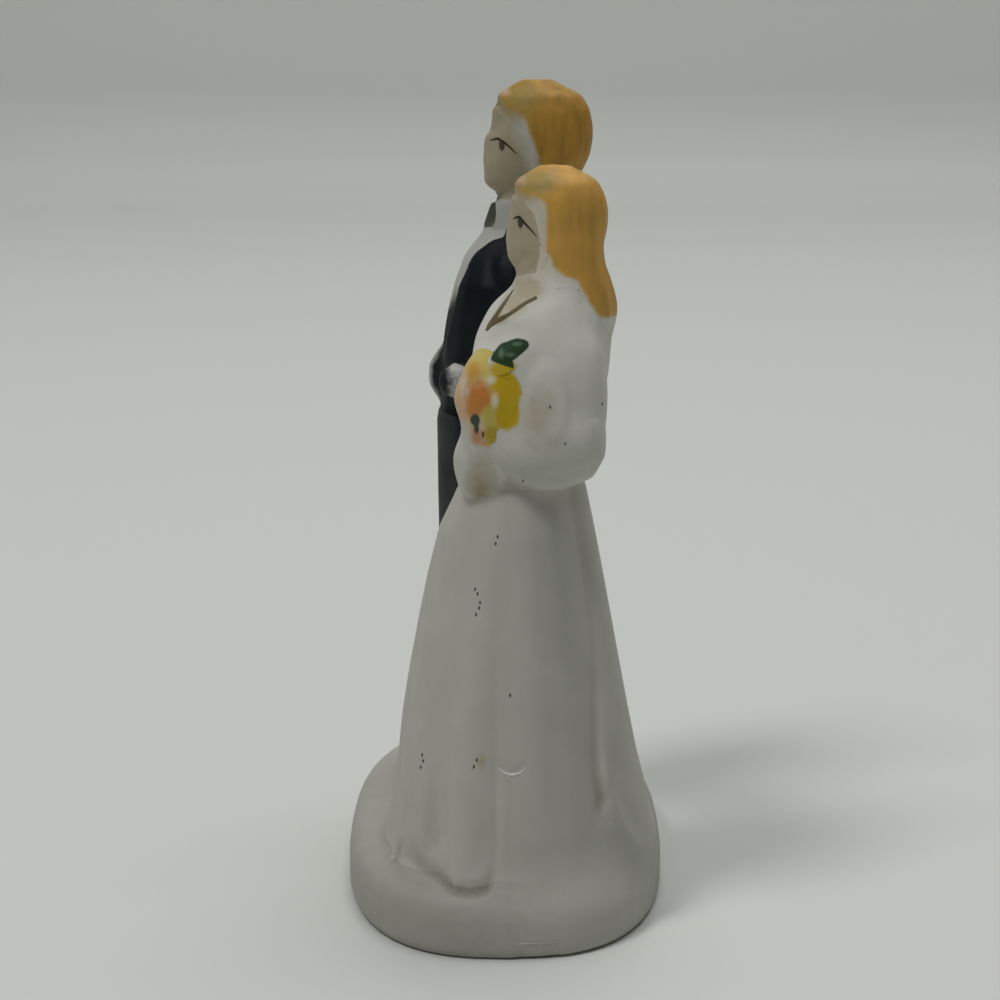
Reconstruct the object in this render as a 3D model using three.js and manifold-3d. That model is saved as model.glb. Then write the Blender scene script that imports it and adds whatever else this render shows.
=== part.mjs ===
// A wedding cake topper: a bride and a groom in painted bisque porcelain on an oval plinth.
// Millimetres, +Z up. The couple faces -Y, and the origin is the middle of the plinth's underside.
import * as THREE from "three";
import { mergeVertices } from "three/addons/utils/BufferGeometryUtils.js";
import Module from "manifold-3d";

const wasm = await Module();
wasm.setup();

// Joints between the castings.
const SLIP_GAP = 0.3;
const NECK_PLUG = 4;
const WRIST_PLUG = 3;

// Plinth.
const BASE_LENGTH = 70;
const BASE_DEPTH = 40;
const BASE_HEIGHT = 8;
const BASE_EDGE_RADIUS = 3;
const BASE_FOOT_BEVEL = 0.6;
const BASE_PLAN_POWER = 2.6;
const VENT_DIAMETER = 6;
const CORE_DIAMETER = 9;
const SKIRT_CORE_HEIGHT = 32;
const TROUSER_CORE_HEIGHT = 30;

// Where each figure stands on the plinth.
const BRIDE_OFFSET = 15;
const BRIDE_SETBACK = 2;
const GROOM_OFFSET = -14;
const GROOM_SETBACK = 0;

// Bride: skirt and train.
const SKIRT_HEIGHT = 45.2;
const SKIRT_WAIST_WIDTH = 17;
const SKIRT_HEM_WIDTH = 36.4;
const SKIRT_WAIST_FRONT = 7.3;
const SKIRT_HEM_FRONT = 17.1;
const SKIRT_WAIST_BACK = 6;
const SKIRT_HEM_BACK = 14.6;
const SKIRT_SIDE_FLARE = 0.68;
const SKIRT_FRONT_FLARE = 0.62;
const SKIRT_BACK_FLARE = 0.95;
const SKIRT_HEM_POWER = 2.7;
const PLEAT_DEPTH = 1.1;
const TRAIN_THICKNESS = 1.6;
const TRAIN_SPREAD = 44;
const TRAIN_SWEEP = 1;

// Bride: bodice, neck and head.
const BODICE_HEIGHT = 24;
const BODICE_WAIST_WIDTH = 16;
const BUST_WIDTH = 18.6;
const BUST_RISE = 15.6;
const BUST_FRONT = 5.9;
const BODICE_BACK = 6.9;
const SHOULDER_RISE = 20.6;
const NECK_BASE_WIDTH = 7;
const NOSE_RISE = 0.5;
const BRIDE_NECK_WIDTH = 5.4;
const BRIDE_NECK_LEAD = 1;
const BRIDE_HEAD_WIDTH = 9.4;
const BRIDE_HEAD_DEPTH = 11.3;
const BRIDE_HEAD_HEIGHT = 11.6;
const BRIDE_CHIN_RISE = 0.8;
const BRIDE_HEAD_SETBACK = 3.7;

// Bride: hair and veil.
const BRIDE_HAIR_THICKNESS = 0.9;
const BRIDE_HAIRLINE_LEAD = 0.7;
const BRIDE_HAIR_FALL = 15.4;
const BRIDE_HAIR_WIDTH = 12.6;
const VEIL_EDGE_WIDTH = 1.7;
const VEIL_LENGTH = 13;
const VEIL_WIDTH = 24;
const VEIL_SETBACK = 10.6;
const VEIL_THICKNESS = 4.2;
const VEIL_SPREAD = 66;

// Bride: arms.
const PUFF_WIDTH = 8.6;
const PUFF_DEPTH = 10.4;
const BRIDE_UPPER_ARM = 14;
const BRIDE_ELBOW_OUT = 8.8;
const BRIDE_ELBOW_BACK = 6;
const FLOUNCE_HEIGHT = 13;
const FLOUNCE_WIDTH = 9;
const BRIDE_FOREARM = 10.4;
const BRIDE_LINK_REACH = 4;
const BRIDE_HAND_LENGTH = 7;
const BRIDE_HAND_WIDTH = 4;

// Posy.
const POSY_WIDTH = 10;
const POSY_DEPTH = 7.8;
const POSY_HEIGHT = 11.2;
const POSY_RISE = 10.8;
const POSY_REACH = 3.6;
const POSY_SIDE = 6.4;
const BLOOM_DIAMETER = 6;
const BLOOM_RISE = 0.6;
const LEAF_LENGTH = 5.6;
const LEAF_WIDTH = 2.6;
const LEAF_THICKNESS = 1.2;
const RIBBON_WIDTH = 6;
const RIBBON_LENGTH = 9;
const RIBBON_DEPTH = 5.6;

// Groom: shoes and trousers.
const SHOE_LENGTH = 12;
const SHOE_WIDTH = 6;
const SHOE_HEIGHT = 3.6;
const STANCE = 8.6;
const TROUSER_HEIGHT = 49;
const TROUSER_WIDTH = 17.4;
const TROUSER_HEM_WIDTH = 15.4;
const TROUSER_FRONT = 9.2;
const TROUSER_BACK = 4.6;
const TROUSER_CREASE = 1.6;

// Groom: coat, shirt and neckwear.
const COAT_HEIGHT = 32.4;
const COAT_OVERLAP = 8;
const COAT_WAIST_WIDTH = 19;
const COAT_SHOULDER_WIDTH = 23;
const COAT_FRONT = 8.6;
const COAT_BACK = 7.4;
const COAT_SHOULDER_DROP = 5;
const SHIRT_WIDTH = 12.8;
const SHIRT_LENGTH = 17.2;
const LAPEL_STEP = 0.4;
const CUTAWAY_DROP = 6.6;
const TAIL_LENGTH = 24;
const TAIL_WIDTH = 13;
const TAIL_THICKNESS = 2.6;
const WAISTCOAT_WIDTH = 8.4;
const WAISTCOAT_HEIGHT = 9.8;
const WAISTCOAT_PROUD = 1.7;
const COLLAR_WIDTH = 8.2;
const COLLAR_HEIGHT = 3.4;
const CRAVAT_WIDTH = 3.2;
const CRAVAT_HEIGHT = 3.8;

// Groom: head and hair.
const GROOM_NECK_WIDTH = 6.2;
const GROOM_NECK_LEAD = 1.3;
const GROOM_HEAD_WIDTH = 10.8;
const GROOM_HEAD_DEPTH = 13.3;
const GROOM_HEAD_HEIGHT = 13.6;
const GROOM_CHIN_RISE = 4.2;
const GROOM_HEAD_SETBACK = 3.95;
const GROOM_HAIR_THICKNESS = 0.9;
const GROOM_HAIRLINE_LEAD = 0;

// Groom: arms.
const COAT_SLEEVE_WIDTH = 7;
const CUFF_WIDTH = 5.4;
const GROOM_UPPER_ARM = 15;
const GROOM_FOREARM = 10;
const GROOM_HAND_LENGTH = 5.4;
const GROOM_HAND_WIDTH = 4.8;

// Every skirt crease as [angle in degrees about the bride's axis, share of the pleat depth].
const SKIRT_CREASES = [
  [-102, 0.8], [-78, 0.8], [-31, 1], [-9, 0.5], [18, 0.25], [46, 0.6], [90, 0.3],
  [134, 0.6], [162, 0.25], [189, 0.5], [211, 1], [258, 0.8],
];

// Colours of the painted bisque.
const FINISH = {
  bisque: { color: 0xe6e4df, roughness: 0.75 },
  flesh: { color: 0xd9cabc, roughness: 0.7 },
  hair: { color: 0xb5863c, roughness: 0.6 },
  coat: { color: 0x23252e, roughness: 0.45 },
  trousers: { color: 0x4b4d52, roughness: 0.6 },
  cravat: { color: 0x55574f, roughness: 0.5 },
  yellow: { color: 0xd9b350, roughness: 0.6 },
  orange: { color: 0xc98443, roughness: 0.6 },
  green: { color: 0x5f6f4a, roughness: 0.6 },
};

// Heights and places that follow from the sizes above.
const hemZ = BASE_HEIGHT + SLIP_GAP;
const waistZ = hemZ + SKIRT_HEIGHT;
const bodiceZ = waistZ + SLIP_GAP;
const bodiceTopZ = bodiceZ + BODICE_HEIGHT;
const brideHead = new THREE.Vector3(
  BRIDE_OFFSET,
  BRIDE_SETBACK + BRIDE_HEAD_SETBACK,
  bodiceTopZ + BRIDE_CHIN_RISE + BRIDE_HEAD_HEIGHT / 2,
);
const trouserTopZ = hemZ + TROUSER_HEIGHT;
const trouserY = GROOM_SETBACK - (TROUSER_FRONT - TROUSER_BACK) / 2;
const coatHemZ = trouserTopZ - COAT_OVERLAP;
const coatTopZ = coatHemZ + COAT_HEIGHT;
const groomHead = new THREE.Vector3(
  GROOM_OFFSET,
  GROOM_SETBACK + GROOM_HEAD_SETBACK,
  coatTopZ + GROOM_CHIN_RISE + GROOM_HEAD_HEIGHT / 2,
);
const posyCentre = new THREE.Vector3(
  BRIDE_OFFSET + POSY_SIDE,
  BRIDE_SETBACK - POSY_REACH,
  waistZ + POSY_RISE,
);

// A smooth value through [place, value] knots, level beyond both ends.
function through(knots) {
  const last = knots.length - 1;
  const slope = (k) => {
    const a = knots[Math.max(k - 1, 0)];
    const b = knots[Math.min(k + 1, last)];
    return (b[1] - a[1]) / (b[0] - a[0]);
  };
  return (place) => {
    if (place <= knots[0][0]) return knots[0][1];
    if (place >= knots[last][0]) return knots[last][1];
    const k = knots.findIndex((knot) => knot[0] > place) - 1;
    const run = knots[k + 1][0] - knots[k][0];
    const s = (place - knots[k][0]) / run;
    const ends = (1 + 2 * s) * (1 - s) ** 2 * knots[k][1] + s * s * (3 - 2 * s) * knots[k + 1][1];
    const turn = s * (1 - s) ** 2 * slope(k) + s * s * (s - 1) * slope(k + 1);
    return ends + turn * run;
  };
}

// A closed solid over rings of points that run counter-clockwise about the way they are stacked.
function skin(rings) {
  const count = rings[0].length;
  const middle = (ring) => ring.reduce((sum, p) => sum.add(p), new THREE.Vector3()).divideScalar(count);
  const points = [...rings.flat(), middle(rings[0]), middle(rings.at(-1))];
  const first = points.length - 2;
  const top = (rings.length - 1) * count;
  const faces = [];
  for (let i = 0; i < count; i += 1) {
    const j = (i + 1) % count;
    for (let r = 0; r < top; r += count) {
      faces.push(r + i, r + j, r + count + j, r + i, r + count + j, r + count + i);
    }
    faces.push(first, j, i, first + 1, top + i, top + j);
  }
  const geometry = new THREE.BufferGeometry().setFromPoints(points);
  geometry.setIndex(faces);
  return solid(geometry);
}

// A geometry as a solid that can be cut.
function solid(geometry) {
  const bare = new THREE.BufferGeometry();
  bare.setAttribute("position", geometry.attributes.position.clone());
  if (geometry.index) bare.setIndex(geometry.index.clone());
  const merged = mergeVertices(bare, 1e-4);
  const mesh = new wasm.Mesh({
    numProp: 3,
    vertProperties: new Float32Array(merged.attributes.position.array),
    triVerts: new Uint32Array(merged.index.array),
  });
  return new wasm.Manifold(mesh);
}

// Evenly spaced angles around a full turn.
const around = (sides) => Array.from({ length: sides }, (_, i) => (2 * Math.PI * i) / sides);

// A rounded outline at one height: front is towards -Y, back towards +Y, swell adds to the radius.
function outline({ x, y, z, half, front, back, power = 2, frontPower = power, angles, swell = () => 0 }) {
  return angles.map((angle) => {
    const c = Math.cos(angle);
    const s = Math.sin(angle);
    const deep = s < 0 ? front : back;
    const round = s < 0 ? frontPower : power;
    const px = half * Math.sign(c) * Math.abs(c) ** (2 / round);
    const py = deep * Math.sign(s) * Math.abs(s) ** (2 / round);
    const out = 1 + swell(angle) / Math.hypot(px, py);
    return new THREE.Vector3(x + px * out, y + py * out, z);
  });
}

// A body of outlines stacked from one height to another; at(share) gives each one's sizes.
function stack(from, to, layers, at, grow) {
  const rings = Array.from({ length: layers + 1 }, (_, k) => {
    const share = k / layers;
    const size = at(share);
    return outline({
      ...size,
      z: THREE.MathUtils.lerp(from - grow, to + grow, share),
      half: size.half + grow,
      front: size.front + grow,
      back: size.back + grow,
    });
  });
  return skin(rings);
}

// A limb with round ends through stops of [x, y, z, half width across, half width deep].
function limb(stops, grow, { steps, sides }) {
  const across = new THREE.Vector3(1, 0, 0);
  const path = new THREE.CatmullRomCurve3(stops.map(([x, y, z]) => new THREE.Vector3(x, y, z)));
  const wide = through(stops.map((stop, k) => [k / (stops.length - 1), stop[3] + grow]));
  const deep = through(stops.map((stop, k) => [k / (stops.length - 1), stop[4] + grow]));
  const ring = (share, turn) => {
    const tangent = path.getTangent(share);
    const side = across.clone().addScaledVector(tangent, -across.dot(tangent)).normalize();
    const other = tangent.clone().cross(side);
    const reach = Math.min(wide(share), deep(share)) * Math.sin(turn);
    const centre = path.getPoint(share).addScaledVector(tangent, reach);
    return Array.from({ length: sides }, (_, i) => {
      const angle = (2 * Math.PI * i) / sides;
      return centre
        .clone()
        .addScaledVector(side, wide(share) * Math.cos(turn) * Math.cos(angle))
        .addScaledVector(other, deep(share) * Math.cos(turn) * Math.sin(angle));
    });
  };
  const turns = [66, 33].map(THREE.MathUtils.degToRad);
  const rings = [
    ...turns.map((turn) => ring(0, -turn)),
    ...Array.from({ length: steps + 1 }, (_, k) => ring(k / steps, 0)),
    ...turns.toReversed().map((turn) => ring(1, turn)),
  ];
  return skin(rings);
}

// An ellipsoid, with shape(direction) scaling the radius, turned so that its Z axis points along aim.
function ball(centre, half, grow, { shape = () => 1, aim, sides = 20, layers = 12 } = {}) {
  const turn = new THREE.Quaternion();
  if (aim) turn.setFromUnitVectors(new THREE.Vector3(0, 0, 1), aim.clone().normalize());
  const rings = Array.from({ length: layers }, (_, k) => {
    const polar = (Math.PI * (k + 0.5)) / layers;
    return Array.from({ length: sides }, (_unused, i) => {
      const angle = (2 * Math.PI * i) / sides;
      const way = new THREE.Vector3(
        Math.sin(polar) * Math.cos(angle),
        Math.sin(polar) * Math.sin(angle),
        -Math.cos(polar),
      );
      const size = half.clone().addScalar(grow);
      return size.multiply(way).multiplyScalar(shape(way)).applyQuaternion(turn).add(centre);
    });
  });
  return skin(rings);
}

// A prism of a (Y, Z) outline that runs across the figure between two values of X.
function sidePrism(corners, fromX, toX) {
  const profile = new THREE.Shape(corners.map(([y, z]) => new THREE.Vector2(y, z)));
  const geometry = new THREE.ExtrudeGeometry(profile, { depth: toX - fromX, bevelEnabled: false });
  geometry.applyMatrix4(new THREE.Matrix4().set(0, 0, 1, fromX, 1, 0, 0, 0, 0, 1, 0, 0, 0, 0, 0, 1));
  return solid(geometry);
}

// A prism of an (X, Z) outline that runs from front to back between two values of Y.
function frontPrism(corners, fromY, toY) {
  const profile = new THREE.Shape(corners.map(([x, z]) => new THREE.Vector2(-x, z)));
  const geometry = new THREE.ExtrudeGeometry(profile, { depth: toY - fromY, bevelEnabled: false });
  geometry.applyMatrix4(new THREE.Matrix4().set(-1, 0, 0, 0, 0, 0, 1, fromY, 0, 1, 0, 0, 0, 0, 0, 1));
  return solid(geometry);
}

// An upright round core or hole.
function bore(x, y, diameter, fromZ, toZ) {
  const geometry = new THREE.CylinderGeometry(diameter / 2, diameter / 2, toZ - fromZ, 14);
  geometry.rotateX(Math.PI / 2);
  geometry.translate(x, y, (fromZ + toZ) / 2);
  return solid(geometry);
}

const pieces = [];

// Adds a piece. make(grow) gives its form, or the same form swollen to cut its neighbours clear.
function piece(name, finish, make) {
  pieces.push({ name, finish, make });
}

// The plinth: an oval casting with a soft top edge and a vent hole under each figure.
function plinth(grow) {
  const edge = [];
  edge.push([BASE_FOOT_BEVEL, -grow], [0, BASE_FOOT_BEVEL]);
  for (let k = 0; k <= 3; k += 1) {
    const turn = (Math.PI / 2) * (k / 3);
    const inset = BASE_EDGE_RADIUS * (1 - Math.cos(turn));
    edge.push([inset, BASE_HEIGHT - BASE_EDGE_RADIUS * (1 - Math.sin(turn)) + grow]);
  }
  const body = skin(edge.map(([inset, z]) => outline({
    x: 0,
    y: 0,
    z,
    half: BASE_LENGTH / 2 - inset + grow,
    front: BASE_DEPTH / 2 - inset + grow,
    back: BASE_DEPTH / 2 - inset + grow,
    power: BASE_PLAN_POWER,
    angles: around(48),
  })));
  const brideVent = bore(BRIDE_OFFSET, BRIDE_SETBACK, VENT_DIAMETER, -BASE_HEIGHT, 2 * BASE_HEIGHT);
  const groomVent = bore(GROOM_OFFSET, trouserY, VENT_DIAMETER, -BASE_HEIGHT, 2 * BASE_HEIGHT);
  return body.subtract(brideVent).subtract(groomVent);
}
piece("base_plinth", "bisque", plinth);

// A doll's head from chin to crown, in shares of its width, depth and height.
const faceFront = through([
  [0, 0.74], [0.1, 0.93], [0.22, 0.99], [0.4, 1], [0.6, 0.92], [0.8, 0.74], [0.93, 0.48], [1, 0.15],
]);
const headBack = through([
  [0, 0.2], [0.1, 0.5], [0.3, 0.86], [0.55, 1], [0.8, 0.88], [0.93, 0.6], [1, 0.2],
]);
const headSide = through([
  [0, 0.36], [0.12, 0.66], [0.35, 0.92], [0.6, 1], [0.82, 0.86], [0.94, 0.56], [1, 0.2],
]);
function headForm(centre, width, depth, height, grow) {
  const nose = (angle, share) => {
    const across = (angle - 1.5 * Math.PI) / 0.3;
    const up = (share - 0.4) / 0.12;
    return NOSE_RISE * Math.exp(-(across ** 2) - up ** 2);
  };
  return stack(centre.z - height / 2, centre.z + height / 2, 8, (share) => ({
    x: centre.x,
    y: centre.y,
    half: (width / 2) * headSide(share),
    front: (depth / 2) * faceFront(share),
    back: (depth / 2) * headBack(share),
    power: 2.1,
    angles: around(16),
    swell: (angle) => nose(angle, share),
  }), grow);
}

// A neck that runs up into the head and plugs into the body below.
function neck(centre, height, lead, width, footZ, grow) {
  return stack(footZ, centre.z - height / 4, 1, () => ({
    x: centre.x,
    y: centre.y - lead,
    half: width / 2,
    front: width / 2,
    back: width / 2,
    angles: around(12),
  }), grow);
}
piece("bride_head", "flesh", (grow) => {
  const footZ = bodiceTopZ - NECK_PLUG;
  const stem = neck(brideHead, BRIDE_HEAD_HEIGHT, BRIDE_NECK_LEAD, BRIDE_NECK_WIDTH, footZ, grow);
  return headForm(brideHead, BRIDE_HEAD_WIDTH, BRIDE_HEAD_DEPTH, BRIDE_HEAD_HEIGHT, grow).add(stem);
});
piece("groom_head", "flesh", (grow) => {
  const footZ = coatTopZ - NECK_PLUG;
  const stem = neck(groomHead, GROOM_HEAD_HEIGHT, GROOM_NECK_LEAD, GROOM_NECK_WIDTH, footZ, grow);
  return headForm(groomHead, GROOM_HEAD_WIDTH, GROOM_HEAD_DEPTH, GROOM_HEAD_HEIGHT, grow).add(stem);
});

// Half sizes of the skirt at a share of its height down from the waist.
function skirtSize(down) {
  const between = (waist, hem, flare) => waist + (hem - waist) * down ** flare;
  return {
    half: between(SKIRT_WAIST_WIDTH / 2, SKIRT_HEM_WIDTH / 2, SKIRT_SIDE_FLARE),
    front: between(SKIRT_WAIST_FRONT, SKIRT_HEM_FRONT, SKIRT_FRONT_FLARE),
    back: between(SKIRT_WAIST_BACK, SKIRT_HEM_BACK, SKIRT_BACK_FLARE),
    frontPower: between(2, SKIRT_HEM_POWER, 1),
  };
}

// How far the cloth sinks into the creases on either side of an angle about the bride's axis.
function pleat(angle, down) {
  const degrees = ((THREE.MathUtils.radToDeg(angle) + 102) % 360) - 102;
  const next = SKIRT_CREASES.findIndex((crease) => crease[0] > degrees);
  const [a, b] = [SKIRT_CREASES[next - 1], SKIRT_CREASES[next]];
  const s = (degrees - a[0]) / (b[0] - a[0]);
  const sink = a[1] * (1 - s) ** 3 + b[1] * s ** 3;
  return -PLEAT_DEPTH * sink * (0.3 + 0.7 * down);
}

// The bodice: waist, bust and sloping shoulders up to the neck.
function bodice(grow) {
  const waist = 0.12;
  const bust = BUST_RISE / BODICE_HEIGHT;
  const shoulder = SHOULDER_RISE / BODICE_HEIGHT;
  const half = through([
    [0, BODICE_WAIST_WIDTH / 2], [waist, BODICE_WAIST_WIDTH / 2], [bust, BUST_WIDTH / 2],
    [shoulder, BUST_WIDTH / 2], [1, NECK_BASE_WIDTH / 2],
  ]);
  const front = through([
    [0, BUST_FRONT], [waist, BUST_FRONT], [bust, BUST_FRONT], [shoulder, BUST_FRONT * 0.64], [1, 0],
  ]);
  const back = through([[0, BODICE_BACK], [shoulder, BODICE_BACK], [1, BODICE_BACK * 0.8]]);
  return stack(bodiceZ, bodiceTopZ, 7, (share) => ({
    x: BRIDE_OFFSET,
    y: BRIDE_SETBACK,
    half: half(share),
    front: front(share),
    back: back(share),
    power: 2.3,
    angles: around(22),
  }), grow);
}
piece("bride_bodice", "bisque", bodice);

// Ring angles that fall on every crease, with the cloth between them divided evenly.
const skirtAngles = SKIRT_CREASES.slice(1).flatMap(([end], k) => {
  const start = SKIRT_CREASES[k][0];
  return [0, 0.25, 0.5, 0.75].map((s) => THREE.MathUtils.degToRad(start + (end - start) * s));
});

// The skirt: a bell of soft pleats, hollow where the casting core was.
function skirt(grow) {
  const body = stack(hemZ, waistZ, 8, (share) => ({
    x: BRIDE_OFFSET,
    y: BRIDE_SETBACK,
    ...skirtSize(1 - share),
    angles: skirtAngles,
    swell: (angle) => pleat(angle, 1 - share),
  }), grow);
  const coreTop = hemZ + SKIRT_CORE_HEIGHT;
  return body.subtract(bore(BRIDE_OFFSET, BRIDE_SETBACK, CORE_DIAMETER, 0, coreTop));
}
piece("bride_skirt", "bisque", skirt);

// A curved panel behind the bride, from one height to another: radii(share) gives its half width and
// depth about the bride's axis, and inner and outer(turn, share) step in and out from there.
function panel({ from, to, spread, radii, inner, outer, layers, steps }, grow) {
  const turns = Array.from({ length: steps + 1 }, (_, i) => (2 * i) / steps - 1);
  const at = (turn, share, out) => {
    const angle = THREE.MathUtils.degToRad(90 + (spread(share) + grow) * turn);
    const size = radii(share);
    return new THREE.Vector3(
      BRIDE_OFFSET + (size.half + out) * Math.cos(angle),
      BRIDE_SETBACK + (size.back + out) * Math.sin(angle),
      THREE.MathUtils.lerp(from - grow, to + grow, share),
    );
  };
  const rings = Array.from({ length: layers + 1 }, (_, k) => {
    const share = k / layers;
    return [
      ...turns.map((turn) => at(turn, share, outer(turn, share) + grow)),
      ...turns.toReversed().map((turn) => at(turn, share, inner - grow)),
    ];
  });
  return skin(rings);
}

// How much of a panel's thickness is left towards its two side edges.
const thinned = (turn) => Math.sqrt(Math.max(1 - turn ** 4, 0.12));

// The train: a panel down the back of the skirt that sweeps out where it meets the plinth.
function train(grow) {
  const sweep = through([[0, TRAIN_SWEEP], [0.12, TRAIN_SWEEP / 2], [0.3, 0], [1, 0]]);
  const taper = through([[0, 0.62], [0.12, 0.9], [0.3, 0.94], [0.6, 0.62], [1, 0.5]]);
  return panel({
    from: hemZ,
    to: waistZ,
    spread: (share) => TRAIN_SPREAD * taper(share),
    radii: (share) => skirtSize(1 - share),
    inner: -TRAIN_THICKNESS,
    outer: (turn, share) => TRAIN_THICKNESS * thinned(turn) + sweep(share),
    layers: 8,
    steps: 12,
  }, grow);
}
piece("bride_train", "bisque", train);

// The opening that a hairline leaves for the face: everything ahead of it and below the fringe.
function faceOpening(centre, width, depth, height, lead, grow) {
  const far = centre.y - depth;
  const line = centre.y - lead - grow;
  const brow = centre.z + height * 0.43 - grow;
  return sidePrism([
    [far, centre.z - height],
    [line + depth * 0.04, centre.z - height],
    [line - depth * 0.02, centre.z - height * 0.1],
    [line - depth * 0.12, centre.z + height * 0.16],
    [line - depth * 0.26, centre.z + height * 0.3 - grow],
    [line - depth * 0.4, brow],
    [far, brow],
  ], centre.x - width, centre.x + width);
}

// The bride's hair: a cap on the head that falls behind the shoulders to a rounded end.
function brideHair(grow) {
  const size = [BRIDE_HEAD_WIDTH, BRIDE_HEAD_DEPTH, BRIDE_HEAD_HEIGHT];
  const cap = headForm(brideHead, ...size, BRIDE_HAIR_THICKNESS + grow);
  const topZ = brideHead.z + BRIDE_HEAD_HEIGHT / 4;
  const rear = BRIDE_HEAD_DEPTH / 2 + BRIDE_HAIR_THICKNESS;
  const width = through([
    [0, BRIDE_HAIR_WIDTH * 0.4], [0.2, BRIDE_HAIR_WIDTH * 0.5], [0.6, BRIDE_HAIR_WIDTH / 2],
    [1, BRIDE_HAIR_WIDTH * 0.36],
  ]);
  const back = through([[0, rear * 1.1], [0.15, rear * 1.14], [0.5, rear * 0.9], [1, rear * 0.85]]);
  const fall = stack(topZ - BRIDE_HAIR_FALL, topZ, 6, (share) => ({
    x: BRIDE_OFFSET,
    y: brideHead.y,
    half: width(share),
    front: 0,
    back: back(share),
    power: 2.4,
    angles: around(18),
  }), grow);
  const opening = faceOpening(brideHead, ...size, BRIDE_HAIRLINE_LEAD, grow);
  const far = BRIDE_HAIR_FALL * 2;
  const shoulder = brideHead.z - BRIDE_HEAD_HEIGHT * 0.58 - 2 * grow;
  const tip = topZ - BRIDE_HAIR_FALL - 2 * grow;
  const slant = sidePrism([
    [brideHead.y - far, shoulder],
    [brideHead.y - far, tip - far],
    [brideHead.y + rear * 0.95, tip - far],
    [brideHead.y + rear * 0.85, tip],
    [brideHead.y + rear * 0.4, shoulder],
  ], brideHead.x - far, brideHead.x + far);
  return cap.add(fall).subtract(opening).subtract(slant);
}
piece("bride_hair", "hair", brideHair);

// The veil's front edge: a white strip down one side of the face, from the fringe to the shoulder.
function veilEdge(side, grow) {
  const half = VEIL_EDGE_WIDTH / 2;
  const out = BRIDE_HEAD_WIDTH / 2;
  const place = (x, y, z, size) => [
    BRIDE_OFFSET + side * x,
    brideHead.y + y * BRIDE_HEAD_DEPTH,
    brideHead.z + z * BRIDE_HEAD_HEIGHT,
    size,
    size,
  ];
  return limb([
    place(out * 0.66, -0.22, 0.3, half * 0.6),
    place(out * 0.94, -0.14, 0.1, half),
    place(out * 1.02, -0.07, -0.2, half),
    place(out * 1.1, -0.02, -0.5, half),
  ], grow, { steps: 6, sides: 8 });
}
piece("bride_left_veil_edge", "bisque", (grow) => veilEdge(1, grow));
piece("bride_right_veil_edge", "bisque", (grow) => veilEdge(-1, grow));

// The veil: a short drape that comes out from under the hair and lies over the backs of the sleeves.
function veil(grow) {
  const half = through([
    [0, VEIL_WIDTH * 0.49], [0.4, VEIL_WIDTH / 2], [0.75, VEIL_WIDTH * 0.42], [1, VEIL_WIDTH * 0.3],
  ]);
  const back = through([[0, VEIL_SETBACK * 0.96], [0.5, VEIL_SETBACK], [1, VEIL_SETBACK * 0.84]]);
  return panel({
    from: bodiceTopZ - VEIL_LENGTH,
    to: bodiceTopZ,
    spread: () => VEIL_SPREAD,
    radii: (share) => ({ half: half(share), back: back(share) }),
    inner: -VEIL_THICKNESS,
    outer: (turn) => (VEIL_THICKNESS / 2) * (thinned(turn) - 1),
    layers: 5,
    steps: 12,
  }, grow);
}
piece("bride_veil", "bisque", veil);

// Groom: one shoe, toe to the front, with the ankle inside the trouser leg.
function shoe(side, grow) {
  const x = GROOM_OFFSET + (side * STANCE) / 2;
  const low = hemZ + SHOE_HEIGHT / 2;
  const toe = trouserY - SHOE_LENGTH * 0.8;
  const half = SHOE_WIDTH / 2;
  const deep = SHOE_HEIGHT / 2;
  const body = limb([
    [x, toe + deep, low - deep * 0.15, half * 0.7, deep * 0.85],
    [x, toe + SHOE_LENGTH * 0.5, low, half, deep],
    [x, toe + SHOE_LENGTH - deep, low, half * 0.8, deep],
  ], grow, { steps: 4, sides: 8 });
  const ground = hemZ - grow;
  const far = BASE_LENGTH;
  return body.subtract(sidePrism([[-far, -far], [far, -far], [far, ground], [-far, ground]], -far, far));
}
piece("groom_left_shoe", "coat", (grow) => shoe(1, grow));
piece("groom_right_shoe", "coat", (grow) => shoe(-1, grow));

// The trousers: both legs in one casting, parted by a crease, hollow where the core was.
function trousers(grow) {
  const half = through([[0, TROUSER_HEM_WIDTH / 2], [0.5, TROUSER_WIDTH / 2], [1, TROUSER_WIDTH / 2]]);
  const deep = (TROUSER_FRONT + TROUSER_BACK) / 2;
  const depth = through([[0, deep * 0.9], [0.6, deep], [1, deep]]);
  const crease = (angle, share) => {
    const near = Math.abs(Math.sin(angle)) ** 24;
    return -TROUSER_CREASE * near * (1 - share * 0.8);
  };
  const body = stack(hemZ, trouserTopZ, 5, (share) => ({
    x: GROOM_OFFSET,
    y: trouserY,
    half: half(share),
    front: depth(share),
    back: depth(share),
    power: 2.7,
    angles: around(28),
    swell: (angle) => crease(angle, share),
  }), grow);
  const coreTop = hemZ + TROUSER_CORE_HEIGHT;
  return body.subtract(bore(GROOM_OFFSET, trouserY, CORE_DIAMETER, 0, coreTop));
}
piece("groom_trousers", "trousers", trousers);

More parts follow.
